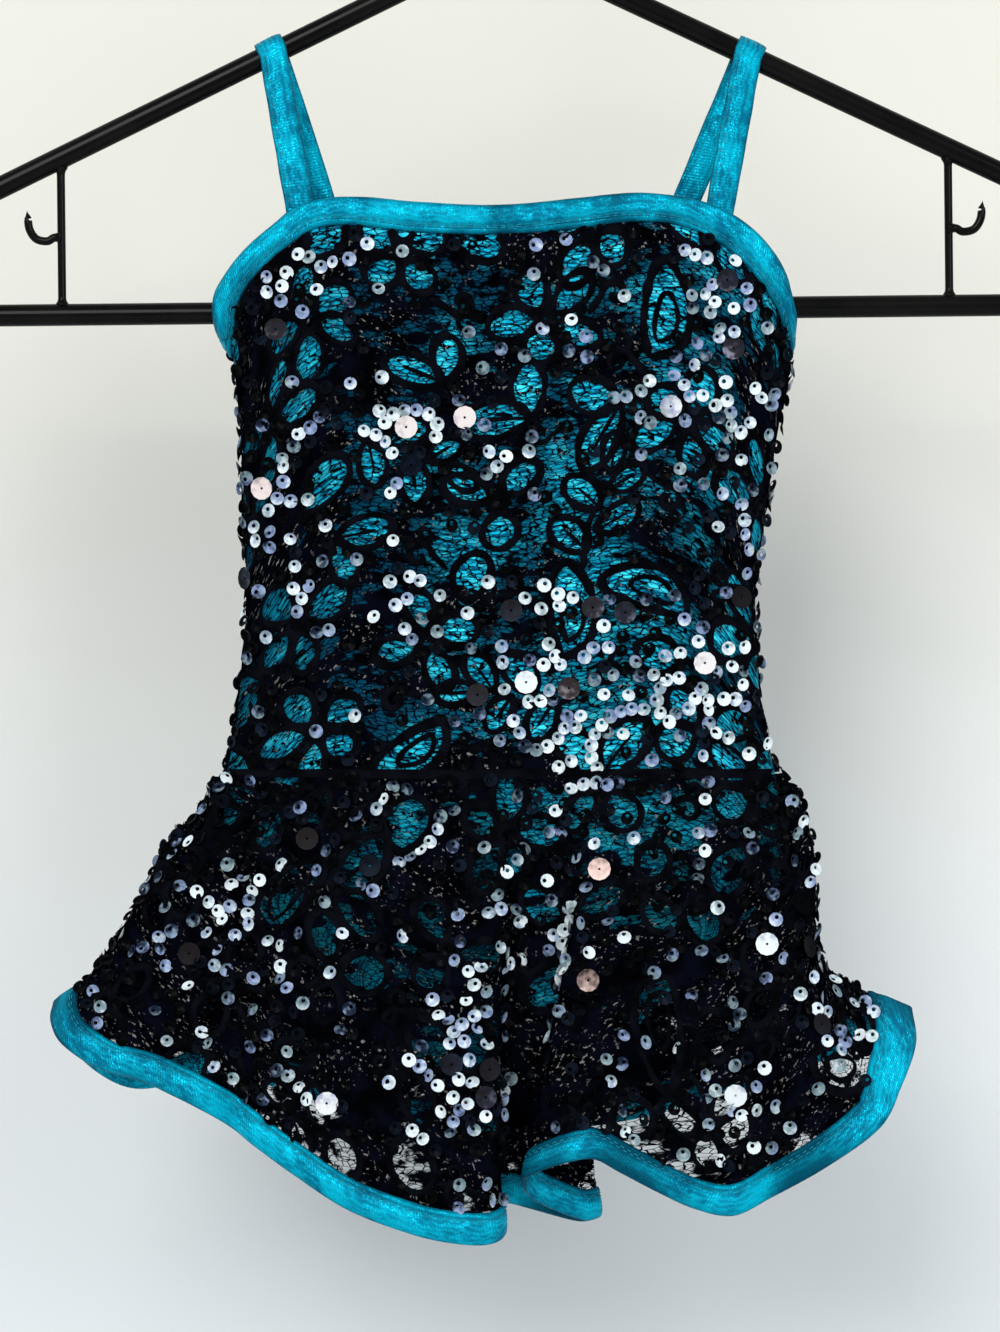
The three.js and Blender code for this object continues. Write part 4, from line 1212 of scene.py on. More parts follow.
def cord(cloth, i0, j0, line, width, closed, first_row, last_row, lift):
    """A raised thread along a flat line, left out where it would leave the panel."""
    line = evenly(line, CORD_STEP, closed) * MM
    way = np.gradient(line, axis=0)
    if closed:
        way[0] = way[-1] = line[1] - line[-2]
    way /= np.maximum(np.linalg.norm(way, axis=1, keepdims=True), 1e-9)
    side = np.stack([-way[:, 1], way[:, 0]], 1) * width * MM / 2
    numbers = np.arange(len(line))
    from_end = np.minimum(numbers, numbers[::-1])
    taper = np.ones(len(line)) if closed else np.clip(from_end / 2 + 0.35, 0, 1)
    taper *= 1.05 + 0.4 * soft_noise(line[:, 0] / MM / 4 + i0, line[:, 1] / MM / 4 + j0, 91)
    rails, inside = [], np.ones(len(line), bool)
    for share, rise in ((-1, 0.0), (-0.5, 0.8), (0.5, 0.8), (1, 0.0)):
        i, j = wrap(cloth, i0, j0, line + share * side * taper[:, None])
        row = np.interp(j, np.arange(len(cloth.row)), cloth.row)
        inside &= (row > first_row) & (row < last_row) & (i > 0.05) & (i < len(cloth.u) - 1.05)
        out = at_grid(cloth.normals, i, j) * (lift + rise * CORD_RISE)
        rails.append(at_grid(cloth.points, i, j) + out)
    points = np.stack(rails, 1).reshape(-1, 3)
    faces = []
    for k in np.flatnonzero(inside[:-1] & inside[1:]):
        a = 4 * k
        faces += [(a + m, a + m + 1, a + m + 5, a + m + 4) for m in range(3)]
    if cloth.face < 0:
        faces = [face[::-1] for face in faces]
    return points, faces


# %% Laying the motifs out
ATTEMPTS, CROWDING = 2600, 0.87


def lay_out(cloth, first_row, last_row, seed):
    """Random places for motifs, the largest kinds first, each with its own room."""
    draw = np.random.default_rng(seed)
    keep = cloth.span(first_row, last_row)
    placed = []
    for kind, (_, room, share) in MOTIFS.items():
        for _ in range(round(ATTEMPTS * share)):
            i, j = draw.integers(4, len(cloth.u) - 4), draw.integers(keep[0], keep[-1])
            here = cloth.points[i, j]
            if all(np.linalg.norm(here - p) > CROWDING * (room + r) * MM for p, r, *_ in placed):
                placed.append((here, room, i, j, kind, draw.uniform(0, TAU), draw.choice([-1, 1])))
    return placed


def open_inside(cloth, i0, j0, outline, fill, left):
    """Clears the thick work inside a closed outline, but for the share that is left."""
    x = (cloth.across - cloth.across[i0]) / MM
    y = np.broadcast_to((cloth.down[i0] - cloth.down[i0, j0]) / MM, x.shape)
    low, high = outline.min(0), outline.max(0)
    near = (x > low[0]) & (x < high[0]) & (y > low[1]) & (y < high[1])
    px, py = x[near], y[near]
    inside = np.zeros(px.shape, bool)
    for (x0, y0), (x1, y1) in zip(outline, np.roll(outline, -1, 0)):
        crosses = (y0 > py) != (y1 > py)
        inside ^= crosses & (px < (x1 - x0) * (py - y0) / (y1 - y0 + 1e-12) + x0)
    values = fill[near]
    values[inside] *= left
    fill[near] = values


def lace_work(cloth, first_row, last_row, fill, left, seed, lift):
    """The raised threads of a panel, and its open outlines. It also opens the net inside them."""
    draw = np.random.default_rng(seed + 500)
    parts, outlines = [], []
    for *_, i0, j0, kind, angle, mirrored in lay_out(cloth, first_row, last_row, seed):
        for line, width, closed, opens in MOTIFS[kind][0](draw):
            flat = turned(line * (mirrored, 1), angle)
            if opens:
                open_inside(cloth, i0, j0, flat, fill, left)
                outlines.append((i0, j0, flat))
            parts.append(cord(cloth, i0, j0, flat, width, closed, first_row, last_row, lift))
    return joined([part for part in parts if part[1]]), outlines


# %% [markdown]
# ## Net and thread
# The net is a honeycomb of fine thread a little over 2 mm across. A Voronoi pattern's distance to
# its cell edges draws exactly that, and the Alpha of the material cuts the holes, so the net weighs
# nothing. An attribute of the mesh, "fill", says how thickly the ground is worked at each place.

# %% The group for net
def net_group():
    """Cover says where there is thread, and Height is its relief."""
    tree, given, result = group("ShaderNodeTree", "lace_net", {
        "Cloth": "Vector", "Fill": 0.5, "Cell mm": 2.2, "Thread": 0.045},
        {"Cover": "Float", "Height": "Float"})
    wander = noise(tree, given["Cloth"], 300.0, 2.0, out=1)
    shift = (1.2 * MM, 1.2 * MM, 0.0)
    shifted = add(tree, "ShaderNodeVectorMath", {0: wander, 1: shift}, operation="MULTIPLY")
    place = add(tree, "ShaderNodeVectorMath", {0: given["Cloth"], 1: shifted}, operation="ADD")
    per_cell = maths(tree, "DIVIDE", 1000.0, given["Cell mm"])
    cells = {"Vector": scaled(tree, place, 0.6, 1.55, 1.0), "Scale": per_cell, "Randomness": 0.8}
    edge = add(tree, "ShaderNodeTexVoronoi", cells, feature="DISTANCE_TO_EDGE")
    soft = maths(tree, "MULTIPLY", given["Thread"], 1.6)
    net = maths(tree, "SUBTRACT", 1.0, between(tree, edge, given["Thread"], soft))
    blots = noise(tree, scaled(tree, place, 0.55, 1.15, 1.0), 160.0, 2.6, 0.55)
    worked = maths(tree, "MULTIPLY_ADD", given["Fill"], 0.5, maths(tree, "SUBTRACT", blots, 0.74))
    ground = between(tree, worked, -0.01, 0.07)
    grain = noise(tree, place, 1500.0, 2.0)
    feed(tree, result, {
        "Cover": maths(tree, "MAXIMUM", net, ground), "Height": maths(tree, "ADD", net, grain)})
    return tree


NET = net_group()
print("net group:", NET.name, len(NET.nodes), "nodes")

# %% Lace finishes
def net_finish():
    """Black net, with a few fibres that catch the light."""
    material, tree, shader = finish("lace_net", Roughness=0.9, Specular_IOR_Level=0.0)
    cloth = cloth_map(tree)
    inputs = {"Cloth": cloth, "Fill": marked(tree, "fill")}
    cover, height = use_group(tree, NET, inputs, ["Cover", "Height"])
    shade, fibres = noise(tree, cloth, 90.0, 3.0), noise(tree, cloth, 500.0, 3.0, 0.65)
    matted = between(tree, noise(tree, cloth, 62.0, 1.0), 0.44, 0.56)
    glints = maths(tree, "MULTIPLY", between(tree, fibres, 0.59, 0.65), matted)
    black = mix_colour(
        tree, between(tree, shade, 0.35, 0.7), (0.0005, 0.0006, 0.001), (0.0018, 0.0023, 0.006))
    feed(tree, shader, {
        "Base Color": mix_colour(tree, glints, black, (0.17, 0.17, 0.16)), "Alpha": cover,
        "Normal": bumped(tree, height, 0.15 * MM)})
    return material


def cord_finish():
    material, tree, shader = finish("lace_cord", Roughness=0.75, Specular_IOR_Level=0.01)
    place = place_of(tree)
    twist = add(tree, "ShaderNodeTexVoronoi", {"Vector": place, "Scale": 1900.0})
    shade = between(tree, noise(tree, place, 130.0, 2.0), 0.3, 0.7)
    feed(tree, shader, {
        "Base Color": mix_colour(tree, shade, (0.0008, 0.0009, 0.0015), (0.003, 0.0035, 0.006)),
        "Normal": bumped(tree, twist, 0.25 * MM, 0.8)})
    return material


LACE_NET, LACE_CORD = net_finish(), cord_finish()
print("lace finishes:", LACE_NET.name, LACE_CORD.name)

# %% [markdown]
# ## The lace of the bodice and the skirt
# The work is closer in some places than in others. A short table of patches gives the closest ones,
# and soft noise varies the rest. The skirt is worked closely all over, apart from its lower edge.

# %% How thickly the lace is worked
CLOSE_WORK = [  # x and drop of the middle of a patch, its reach across and down, how close it is
    (-84, 262, 22, 62, 0.6), (-38, 236, 28, 16, 0.3), (20, 232, 34, 16, 0.35),
    (-74, 350, 28, 28, 0.45), (97, 262, 12, 70, 0.4), (-30, 369, 70, 9, 0.45),
    (40, 372, 90, 4, 0.4), (-45, 316, 22, 14, 0.3), (-10, 182, 80, 8, 0.3),
]
OPEN_WORK = [
    (28, 384, 34, 12, -0.6), (70, 388, 22, 15, -0.55), (45, 408, 28, 16, -0.45),
    (-36, 440, 11, 12, -0.55), (-28, 386, 24, 8, -0.4), (90, 422, 10, 14, -0.35),
    (66, 445, 12, 20, -0.3),
]


def patches(cloth, table):
    """The sum of soft patches at every point of a panel's grid."""
    x, drop = cloth.points[..., 0] / MM, -cloth.points[..., 2] / MM
    return sum(
        weight * np.exp(-(((x - x0) / reach) ** 2) - ((drop - drop0) / fall) ** 2)
        for x0, drop0, reach, fall, weight in table)


def bodice_fill(cloth, seed):
    hills = soft_noise(cloth.across / MM / 18, cloth.down / MM / 14, seed)
    return np.clip(0.42 + 0.3 * hills + patches(cloth, CLOSE_WORK), 0.1, 1.1)


def skirt_fill(cloth, seed):
    hills = soft_noise(cloth.across / MM / 22, cloth.down / MM / 18, seed)
    from_hem = (cloth.down[:, -1:] - cloth.down) / MM
    thin = 0.6 * np.exp(-((from_hem / 15) ** 2))
    return np.clip(1.0 + 0.2 * hills - thin + patches(cloth, OPEN_WORK), 0.2, 1.2)


print("worked patches:", len(CLOSE_WORK), "open ones:", len(OPEN_WORK))

# %% Laying the lace
LACE_OFFSET, CORD_OVER_NET = 1.6 * MM, 0.1 * MM


def lace_panel(name, cloth, first, last, offset, fill, left, seed):
    keep = cloth.span(first, last)
    work, outlines = lace_work(cloth, first, last, fill, left, seed, offset + CORD_OVER_NET)
    net = mesh_object(
        f"{name}_lace", layer_points(cloth, keep, offset),
        grid_faces(len(cloth.u), len(keep), turned=cloth.face > 0), layer_uv(cloth, keep),
        LACE_NET, marks={"fill": fill[:, keep].ravel()})
    return net, mesh_object(f"{name}_lace_cord", *work, material=LACE_CORD), outlines


# A panel's cloth, its rows, how far out its lace lies, how thickly that is worked, and how much of
# the thick work is left inside the motifs.
PANELS = {
    ("bodice", "front"): (FRONT, 0, BODICE_ROWS, LACE_OFFSET, bodice_fill(FRONT, 61), 0.0),
    ("bodice", "back"): (BACK, 0, BODICE_ROWS, LACE_OFFSET, bodice_fill(BACK, 62), 0.0),
    ("skirt", "front"): (SKIRT_FRONT, 0, SKIRT_ROWS, 0.0, skirt_fill(SKIRT_FRONT, 71), 0.5),
    ("skirt", "back"): (SKIRT_BACK, 0, SKIRT_ROWS, 0.0, skirt_fill(SKIRT_BACK, 72), 0.8),
}
lace, cords, outlines = {}, {}, {}
for number, (key, panel) in enumerate(PANELS.items()):
    lace[key], cords[key], outlines[key] = lace_panel("_".join(key), *panel, 81 + number)
print("faces of lace thread:", {" ".join(key): len(o.data.polygons) for key, o in cords.items()})

# %% Shade on the foil under the lace
# Painted shade of the foil where the skirt hangs over it.
UNDER_SKIRT = 0.3
DIM_PLACES = [  # painted shade on the foil: down its left side and right edge, along its top, in a few hollows
    (-85, 300, 32, 90, 0.6), (-97, 290, 13, 85, 0.6), (102, 262, 14, 80, 0.6),
    (-62, 200, 30, 26, 0.35), (10, 200, 50, 12, 0.25), (-52, 320, 24, 24, 0.35),
    (-45, 345, 24, 24, 0.35), (14, 262, 12, 20, 0.2),
]


def shade_under(obj, fill):
    """Marks painted shade on the foil under the close work and at DIM_PLACES, blurred by the gap
    between.
    """
    soft = np.clip(fill / 0.5, 0, 1) + patches(FRONT, DIM_PLACES)
    soft[:, FRONT.span(BODICE_ROWS, LAST_ROW)] = UNDER_SKIRT
    for _ in range(2):
        wide = np.pad(soft, 1, mode="edge")
        beside, above = wide[:-2, 1:-1] + wide[2:, 1:-1], wide[1:-1, :-2] + wide[1:-1, 2:]
        soft = (beside + above + soft) / 5
    mark(obj.data, "edge", np.tile(soft[:, FRONT.span(0, LAST_ROW)].ravel(), 2))


for side in SIDES:
    shade_under(leotard[side], PANELS["bodice", side][4])
print("shaded:", [obj.name for obj in leotard.values()])

# %% [markdown]
# ## Seams of the lace
# The waist seam is a plain black line where the skirt's lace is sewn over the bodice's. At the side
# seams the lace was cut through its net, so short ragged bits stand out past the edge.

# %% The waist seam and the ragged sides
SEAM_OVER, SEAM_UNDER = 0.09, 0.08  # how far the seam reaches, in rows of the bodice and the skirt
FRAY = 3.2 * MM


def waist_seam(side):
    """A narrow ribbon from the last of the bodice's lace to the first of the skirt's."""
    body = SIDES[side]
    up, up_normal, *_ = grid_sample(body, BODICE_ROWS - SEAM_OVER)
    start = grid_sample(SKIRTS[side], SEAM_UNDER)[0]
    numbers = np.arange(len(start))
    order = np.interp(up[:, 0], start[:, 0], numbers)
    down = np.stack([np.interp(order, numbers, start[:, k]) for k in range(3)], 1)
    out, half = np.array([0, body.face, 0]), np.array([0, 0, 0.5 * MM])
    ridge = (up + down) / 2 + out * 1.5 * MM
    ridge[:, 2] += 0.15 * wobble(up[:, 0] / MM / 1.7, 3.0, 51) * MM
    rails = [up + up_normal * LACE_OFFSET, ridge + half, ridge - half, down + out * 0.3 * MM]
    points = np.stack(rails, 1).reshape(-1, 3)
    faces = grid_faces(len(up), len(rails), turned=body.face > 0)
    return mesh_object(f"waist_seam_{side}", points, faces, material=LACE_CORD)


def ragged_side(name, cloth, column, first, last, offset, seed):
    """A strip of torn net that stands out from a side seam, wide and narrow by chance."""
    keep = cloth.span(first, last)
    surface = cloth.points + cloth.normals * offset
    edge, inner = surface[column, keep], surface[3 if column == 0 else column - 3, keep]
    out = edge - inner
    out[:, 1] = 0
    out /= np.linalg.norm(out, axis=1, keepdims=True)
    down = cloth.down[column, keep] / MM
    chance = 0.8 * wobble(down / 4.2, 0, seed) + 0.5 * wobble(down / 1.3, 0, seed + 1)
    width = FRAY * np.clip(0.35 + chance, 0.05, 1.2)
    sway = 1.2 * MM * wobble(down / 5, 0, seed + 2)
    fills = {-0.6: 1.3, 0.0: 1.1, 0.5: 0.8, 1.0: 0.45}  # a share of the width: how closely worked
    points, uv = [], []
    for share in fills:
        swung = np.outer(sway * max(share, 0), (0, 1, 0))
        points.append(edge + out * (share * width)[:, None] + swung)
        uv.append(np.stack([share * width, -down * MM], 1))
    return mesh_object(
        name, np.stack(points, 1).reshape(-1, 3), grid_faces(len(keep), len(fills)),
        np.stack(uv, 1).reshape(-1, 2), LACE_NET,
        marks={"fill": np.tile(list(fills.values()), len(keep))})


waist_seams = {side: waist_seam(side) for side in SIDES}
CUT_SIDES = {  # the cloth, its rows, how far out the lace lies, and a seed
    "bodice": (FRONT, 0.4, BODICE_ROWS, LACE_OFFSET, 131),
    "skirt": (SKIRT_FRONT, 0.2, SKIRT_ROWS - 0.2, 0.0, 138),
}
frays = {}
for part, (cloth, first, last, offset, seed) in CUT_SIDES.items():
    for column, side in ((0, "left"), (-1, "right")):
        frays[part, side] = ragged_side(
            f"{part}_ragged_{side}", cloth, column, first, last, offset, seed - column)
print("seams:", [o.name for o in (*waist_seams.values(), *frays.values())])

# %% [markdown]
# ## Sequins
# Cup sequins 5 mm across are sewn on in rows beside the motifs and strewn over the worked ground.
# There are thousands, so Geometry Nodes places them: each is a small faceted cup of two cones with
# no ends, put on a point that knows which way it lies, tilted a little by chance. Two more named
# values on each point, "shine" and "warmth", let one material colour them all.

# %% Helpers for Geometry Nodes
def named(tree, name, kind):
    return add(tree, "GeometryNodeInputNamedAttribute", {"Name": name}, data_type=kind)


def vector(tree, x=0.0, y=0.0, z=0.0):
    return add(tree, "ShaderNodeCombineXYZ", {0: x, 1: y, 2: z})


def sewn(tree, result, points, inputs, material):
    """Puts a piece on every point, makes the pieces real and gives them their material."""
    placed = add(tree, "GeometryNodeInstanceOnPoints", {"Points": points, **inputs})
    real = add(tree, "GeometryNodeRealizeInstances", {"Geometry": placed})
    done = add(tree, "GeometryNodeSetMaterial", {"Geometry": real, "Material": material})
    tree.links.new(done, result["Geometry"])
    return tree


def lying(tree, seed, tilt):
    """A rotation that lays a piece on its point's own "lie", with a chance tilt and turn."""
    lie = named(tree, "lie", "FLOAT_VECTOR")
    flat = add(tree, "FunctionNodeAlignRotationToVector", {"Vector": lie}, axis="Z")
    back = maths(tree, "MULTIPLY", tilt, -1.0)
    span = {"Min": vector(tree, back, back, -1.1), "Max": vector(tree, tilt, tilt, 1.1)}
    chance = add(
        tree, "FunctionNodeRandomValue", {**span, "Seed": seed}, data_type="FLOAT_VECTOR")
    turn = add(tree, "FunctionNodeEulerToRotation", {"Euler": chance})
    both = {"Rotation": flat, "Rotate By": turn}
    return add(tree, "FunctionNodeRotateRotation", both, rotation_space="LOCAL")


# %% The sequin tree
def cone(tree, bottom, top, depth):
    """A ring of a cup, with no ends."""
    size = {"Radius Bottom": bottom, "Radius Top": top, "Depth": depth}
    return add(tree, "GeometryNodeMeshCone", {"Vertices": 12, "Side Segments": 1, **size},
               fill_type="NONE")


def sequin_tree():
    tree, given, result = group("GeometryNodeTree", "sewn_sequins", {
        "Geometry": "Geometry", "Diameter": 5 * MM, "Hole": 1.45 * MM, "Depth": 0.8 * MM,
        "Aside": 0.75 * MM, "Tilt": 0.32, "Seed": 1, "Finish": "Material"},
        {"Geometry": "Geometry"})
    rim = maths(tree, "MULTIPLY", given["Diameter"], 0.5)
    hole = maths(tree, "MULTIPLY", given["Hole"], 0.5)
    knee = maths(tree, "MULTIPLY", given["Diameter"], 0.33)
    low, high = (maths(tree, "MULTIPLY", given["Depth"], share) for share in (0.6, 0.4))
    well, brim = cone(tree, hole, knee, low), cone(tree, knee, rim, high)
    lifted = {"Geometry": brim, "Translation": vector(tree, z=low)}
    raised = add(tree, "GeometryNodeTransform", lifted)
    cup = tree.nodes.new("GeometryNodeJoinGeometry")
    for piece in (well, raised):
        tree.links.new(piece, cup.inputs[0])
    place = add(tree, "GeometryNodeInputPosition")
    height = add(tree, "ShaderNodeSeparateXYZ", {"Vector": place}, out=2)
    bottom = maths(tree, "MULTIPLY", given["Depth"], 0.2)
    pulled = add(tree, "GeometryNodeSetPosition", {
        "Geometry": cup.outputs[0], "Selection": maths(tree, "LESS_THAN", height, bottom),
        "Offset": vector(tree, maths(tree, "MULTIPLY", given["Aside"], -0.4), given["Aside"])})
    round_cup = add(tree, "GeometryNodeSetShadeSmooth", {"Geometry": pulled})
    # The cup's own place, kept so that the film can paint a shaded side across each cup.
    stored = add(
        tree, "GeometryNodeStoreNamedAttribute",
        {"Geometry": round_cup, "Name": "cup", "Value": place},
        data_type="FLOAT_VECTOR", domain="POINT")
    return sewn(tree, result, given["Geometry"], {
        "Instance": stored, "Scale": named(tree, "size", "FLOAT"),
        "Rotation": lying(tree, given["Seed"], given["Tilt"])}, given["Finish"])


SEQUINS = sequin_tree()
print("tree:", SEQUINS.name, len(SEQUINS.nodes), "nodes")

# %% Growing pieces on points
def grown(name, points, tree, inputs, marks, edges=()):
    """Runs a tree over a few points and keeps what it makes as a plain mesh at the origin."""
    seed_mesh = bpy.data.meshes.new(f"{name}_points")
    seed_mesh.from_pydata([tuple(p) for p in points], edges, [])
    for mark_name, values in marks.items():
        mark(seed_mesh, mark_name, values)
    obj = linked(name, seed_mesh)
    modifier = obj.modifiers.new(tree.name, "NODES")
    modifier.node_group = tree
    sockets = {s.name: s.identifier for s in tree.interface.items_tree if s.in_out == "INPUT"}
    for label, value in inputs.items():
        modifier[sockets[label]] = value
    ready = bpy.context.evaluated_depsgraph_get()
    made = bpy.data.meshes.new_from_object(obj.evaluated_get(ready))
    obj.modifiers.clear()
    obj.data = made
    made.name = name
    return obj


# %% [markdown]
# ## Sequin film
# A sequin is clear or dark plastic film with a pearly coat. The light it catches is painted into
# its colour: white or lavender, blue-grey, or nearly black. Chance decides which, with brighter
# patches where a fold turns the cloth to the light. A few large ones have a warm coppery coat.

# %% Sequin finish
def sequin_finish():
    """Nearly black, blue-grey or pale as a piece's shine grows, or coppery by its warmth."""
    material, tree, shader = finish("sequin_film", Coat_Roughness=0.15, Specular_IOR_Level=0.02)
    shine, place = marked(tree, "shine"), place_of(tree)
    # Painted light: shine is how much light a sequin catches, painted from nearly black to pale,
    # and the cup's own place paints a shaded side across each one.
    across = {0: marked(tree, "cup", out=1), 1: (120.0, -220.0, 0.0)}
    slope = add(tree, "ShaderNodeVectorMath", across, out=1, operation="DOT_PRODUCT")
    cloud = between(tree, noise(tree, place, 420.0, 1.0), 0.3, 0.7, -0.1, 0.1)
    uneven = maths(tree, "ADD", maths(tree, "MULTIPLY", slope, 0.14), cloud)
    shift = maths(tree, "MULTIPLY", uneven, between(tree, shine, 0.1, 0.4))
    lit = maths(tree, "ADD", shine, shift)
    dark = mix_colour(
        tree, between(tree, lit, 0.1, 0.4), (0.0008, 0.001, 0.0014), (0.010, 0.018, 0.038))
    drift = between(tree, noise(tree, place, 95.0, 1.0), 0.4, 0.6)
    pearl = mix_colour(tree, drift, (0.19, 0.27, 0.30), (0.22, 0.29, 0.48))
    middle = mix_colour(tree, between(tree, lit, 0.35, 0.62), dark, pearl)
    pale = mix_colour(tree, between(tree, lit, 0.6, 0.95), middle, (0.70, 0.79, 0.82))
    warm = mix_colour(
        tree, between(tree, lit, 0.3, 0.9), (0.03, 0.024, 0.022), (0.76, 0.54, 0.49))
    feed(tree, shader, {
        "Base Color": mix_colour(tree, marked(tree, "warmth"), pale, warm),
        "Roughness": between(tree, lit, 0.1, 0.9, 0.3, 0.36),
        "Coat Weight": between(tree, lit, 0.4, 0.9, 0.0, 0.35)})
    return material


SEQUIN_FILM = sequin_finish()
print("film:", SEQUIN_FILM.name)

# %% [markdown]
# ## Large flat sequins
# A few flat sequins, over 8 mm across, lie among the cups. Some are pinkish white, some dark and a
# few coppery. Each place is given one by one, so a short table holds them.

# %% Flat sequins
FLAT_SEQUINS = [  # x, drop, shine and warmth
    (-65, 177, 0.5, 1), (-20, 182, 0.2, 0), (82, 195, 0.3, 0.3), (-81, 210, 0.3, 0.5),
    (84, 218, 0.35, 0.4), (-13, 244, 0.95, 0.5), (-33, 247, 0.9, 0.5), (62, 240, 0.7, 0.2),
    (-32, 261, 0.2, 0), (-86, 269, 0.85, 0.6), (34, 313, 0.3, 0.5), (45, 314, 0.3, 0.3),
    (87, 309, 0.15, 0.2), (74, 333, 0.95, 0.35), (9, 339, 1.0, 0.1), (25, 342, 0.35, 0.7),
    (-8, 343, 0.25, 0.5), (5, 313, 0.25, 0.3), (35, 406, 0.75, 1), (-47, 404, 0.2, 0),
    (31, 445, 0.5, 1), (-17, 474, 0.25, 0.2), (-3, 477, 0.2, 0.3), (-5, 486, 0.3, 0.3),
    (-62, 489, 0.9, 0.2), (115, 461, 0.2, 0.3), (111, 434, 0.1, 0), (109, 418, 0.1, 0),
    (-91, 301, 0.3, 0.2), (-70, 395, 0.15, 0.3), (-112, 436, 0.15, 0.3), (96, 432, 0.95, 0.1),
    (84, 487, 0.95, 0.1),
]


def nearest_in_front(cloth, keep, x, drop):
    """The grid place that shows at (x, drop) to someone in front of the panel."""
    p = cloth.points[:, keep]
    apart = np.hypot(p[..., 0] - x, p[..., 2] + drop)
    score = np.where(apart < max(apart.min() * 1.2, 1.2 * MM), cloth.face * p[..., 1], -1)
    i, j = np.unravel_index(int(np.argmax(score)), apart.shape)
    return float(i), float(keep[j]), float(apart.min())


BACK_SHIFT = -7  # the middle of the dress is a little left of the hook's
flat_places = {}
for key, (cloth, first, last, *_) in PANELS.items():
    keep = cloth.span(first, last)[4:-4]
    found = []
    for x, drop, shine, warmth in FLAT_SEQUINS:
        x = x if key[1] == "front" else BACK_SHIFT - x
        i, j, apart = nearest_in_front(cloth, keep, x * MM, drop * MM)
        if apart < 2.5 * MM:
            found.append((i, j, shine, warmth))
    flat_places[key] = np.array(found)
print("flat sequins:", {" ".join(key): len(found) for key, found in flat_places.items()})

# %% [markdown]
# ## Cup sequins
# The cups keep clear of each other and of the flat ones. Patches of brightness stand for the folds
# that turn the cloth to the light, and bare patches for places with few sequins.

# %% Bright and bare patches
BRIGHT_PATCHES = [  # x and drop of the middle of a patch, its reach across and down, its brightness
    (50, 342, 36, 26, 0.5), (24, 366, 20, 12, 0.4), (26, 216, 12, 10, 0.5), (66, 238, 22, 12, 0.5),
    (-30, 248, 24, 12, 0.4), (76, 193, 10, 12, 0.5), (81, 212, 9, 14, 0.45), (85, 268, 7, 18, 0.4),
    (-81, 195, 10, 14, 0.4), (-78, 270, 9, 16, 0.5), (-30, 310, 18, 9, 0.3), (20, 310, 30, 9, 0.35),
    (-12, 464, 10, 38, 0.55), (-101, 430, 14, 26, 0.35), (-68, 480, 14, 14, 0.35),
    (22, 430, 9, 12, 0.45), (98, 432, 9, 9, 0.5), (128, 458, 20, 12, 0.5), (82, 492, 15, 22, 0.35),
    (12, 412, 12, 12, 0.2),
]
BARE_PATCHES = [
    (-18, 272, 13, 11, 0.9), (32, 296, 16, 12, 0.9), (60, 292, 11, 12, 0.7),
    (-24, 362, 16, 12, 0.7), (-28, 210, 14, 12, 0.6), (60, 262, 14, 10, 0.6),
    (-50, 262, 12, 14, 0.5), (-58, 455, 16, 24, 0.85), (-48, 400, 16, 14, 0.6),
    (8, 457, 8, 22, 0.9), (50, 455, 16, 18, 0.65), (55, 402, 22, 12, 0.5), (90, 400, 12, 18, 0.45),
    (-75, 330, 12, 26, 0.4), (12, 500, 12, 14, 0.7), (-70, 222, 10, 12, 0.4),
    (-78, 422, 17, 18, 0.6), (-50, 322, 14, 14, 0.4), (10, 232, 14, 10, 0.5),
    (108, 480, 12, 14, 0.5), (-95, 462, 14, 12, 0.4),
]
print(len(BRIGHT_PATCHES), "bright patches and", len(BARE_PATCHES), "bare ones")

# %% Rows of sequins and strewn ones
SIDE_STEP = 4.9 * MM
ROW_OUTSIDE, ROW_STEP = 3.3, 4.5  # millimetres outside a motif, and from cup to cup
STREWN = 7000


class Room:
    """Keeps sewn pieces at least a distance apart."""

    def __init__(self, distance):
        self.distance, self.cells = distance, {}

    def takes(self, point):
        cell = tuple((point / self.distance).astype(int))
        for near in itertools.product(*(range(step - 1, step + 2) for step in cell)):
            for other in self.cells.get(near, ()):
                if np.linalg.norm(point - other) < self.distance:
                    return False
        self.cells.setdefault(cell, []).append(point)
        return True


def chains(cloth, lines, first, last, draw):
    """Grid places in rows round the motifs and down the sides, each with its row's own luck. The
    luck sets the painted shine, so a row's sequins catch light alike, as sewn rows lie alike."""
    places = []
    keep = cloth.span(first, last)
    for column in (0.1, len(cloth.u) - 1.15):
        walked = cloth.down[int(column), keep]
        steps = np.arange(walked[0] + 4 * MM, walked[-1] - 4 * MM, SIDE_STEP)
        j = np.interp(steps, walked, keep)
        places.append(np.stack([np.full(len(j), column), j, draw.uniform(0.75, 1, len(j))], 1))
    for i0, j0, outline in lines:
        if draw.random() > 0.8:
            continue
        middle = outline.mean(0)
        away = outline - middle
        reach = np.linalg.norm(away, axis=1, keepdims=True)
        line = evenly(middle + away * (1 + ROW_OUTSIDE / reach), ROW_STEP, True) * MM
        i, j = wrap(cloth, i0, j0, line)
        luck = draw.random() + draw.normal(0, 0.12, len(i))
        places.append(np.stack([i, j, luck], 1))
    return np.concatenate(places)


def strewn(cloth, first, last, draw):
    keep = cloth.span(first, last)
    i = draw.uniform(1, len(cloth.u) - 2, STREWN)
    j = draw.uniform(keep[0] + 1, keep[-1] - 1, STREWN)
    return np.stack([i, j, draw.random(STREWN)], 1)


# %% Choosing the places
CUP_SPACING, CLEAR_OF_FLAT = 3.95 * MM, 5.4 * MM
MIDDLING = 0.15  # the share of the cups that look blue-grey


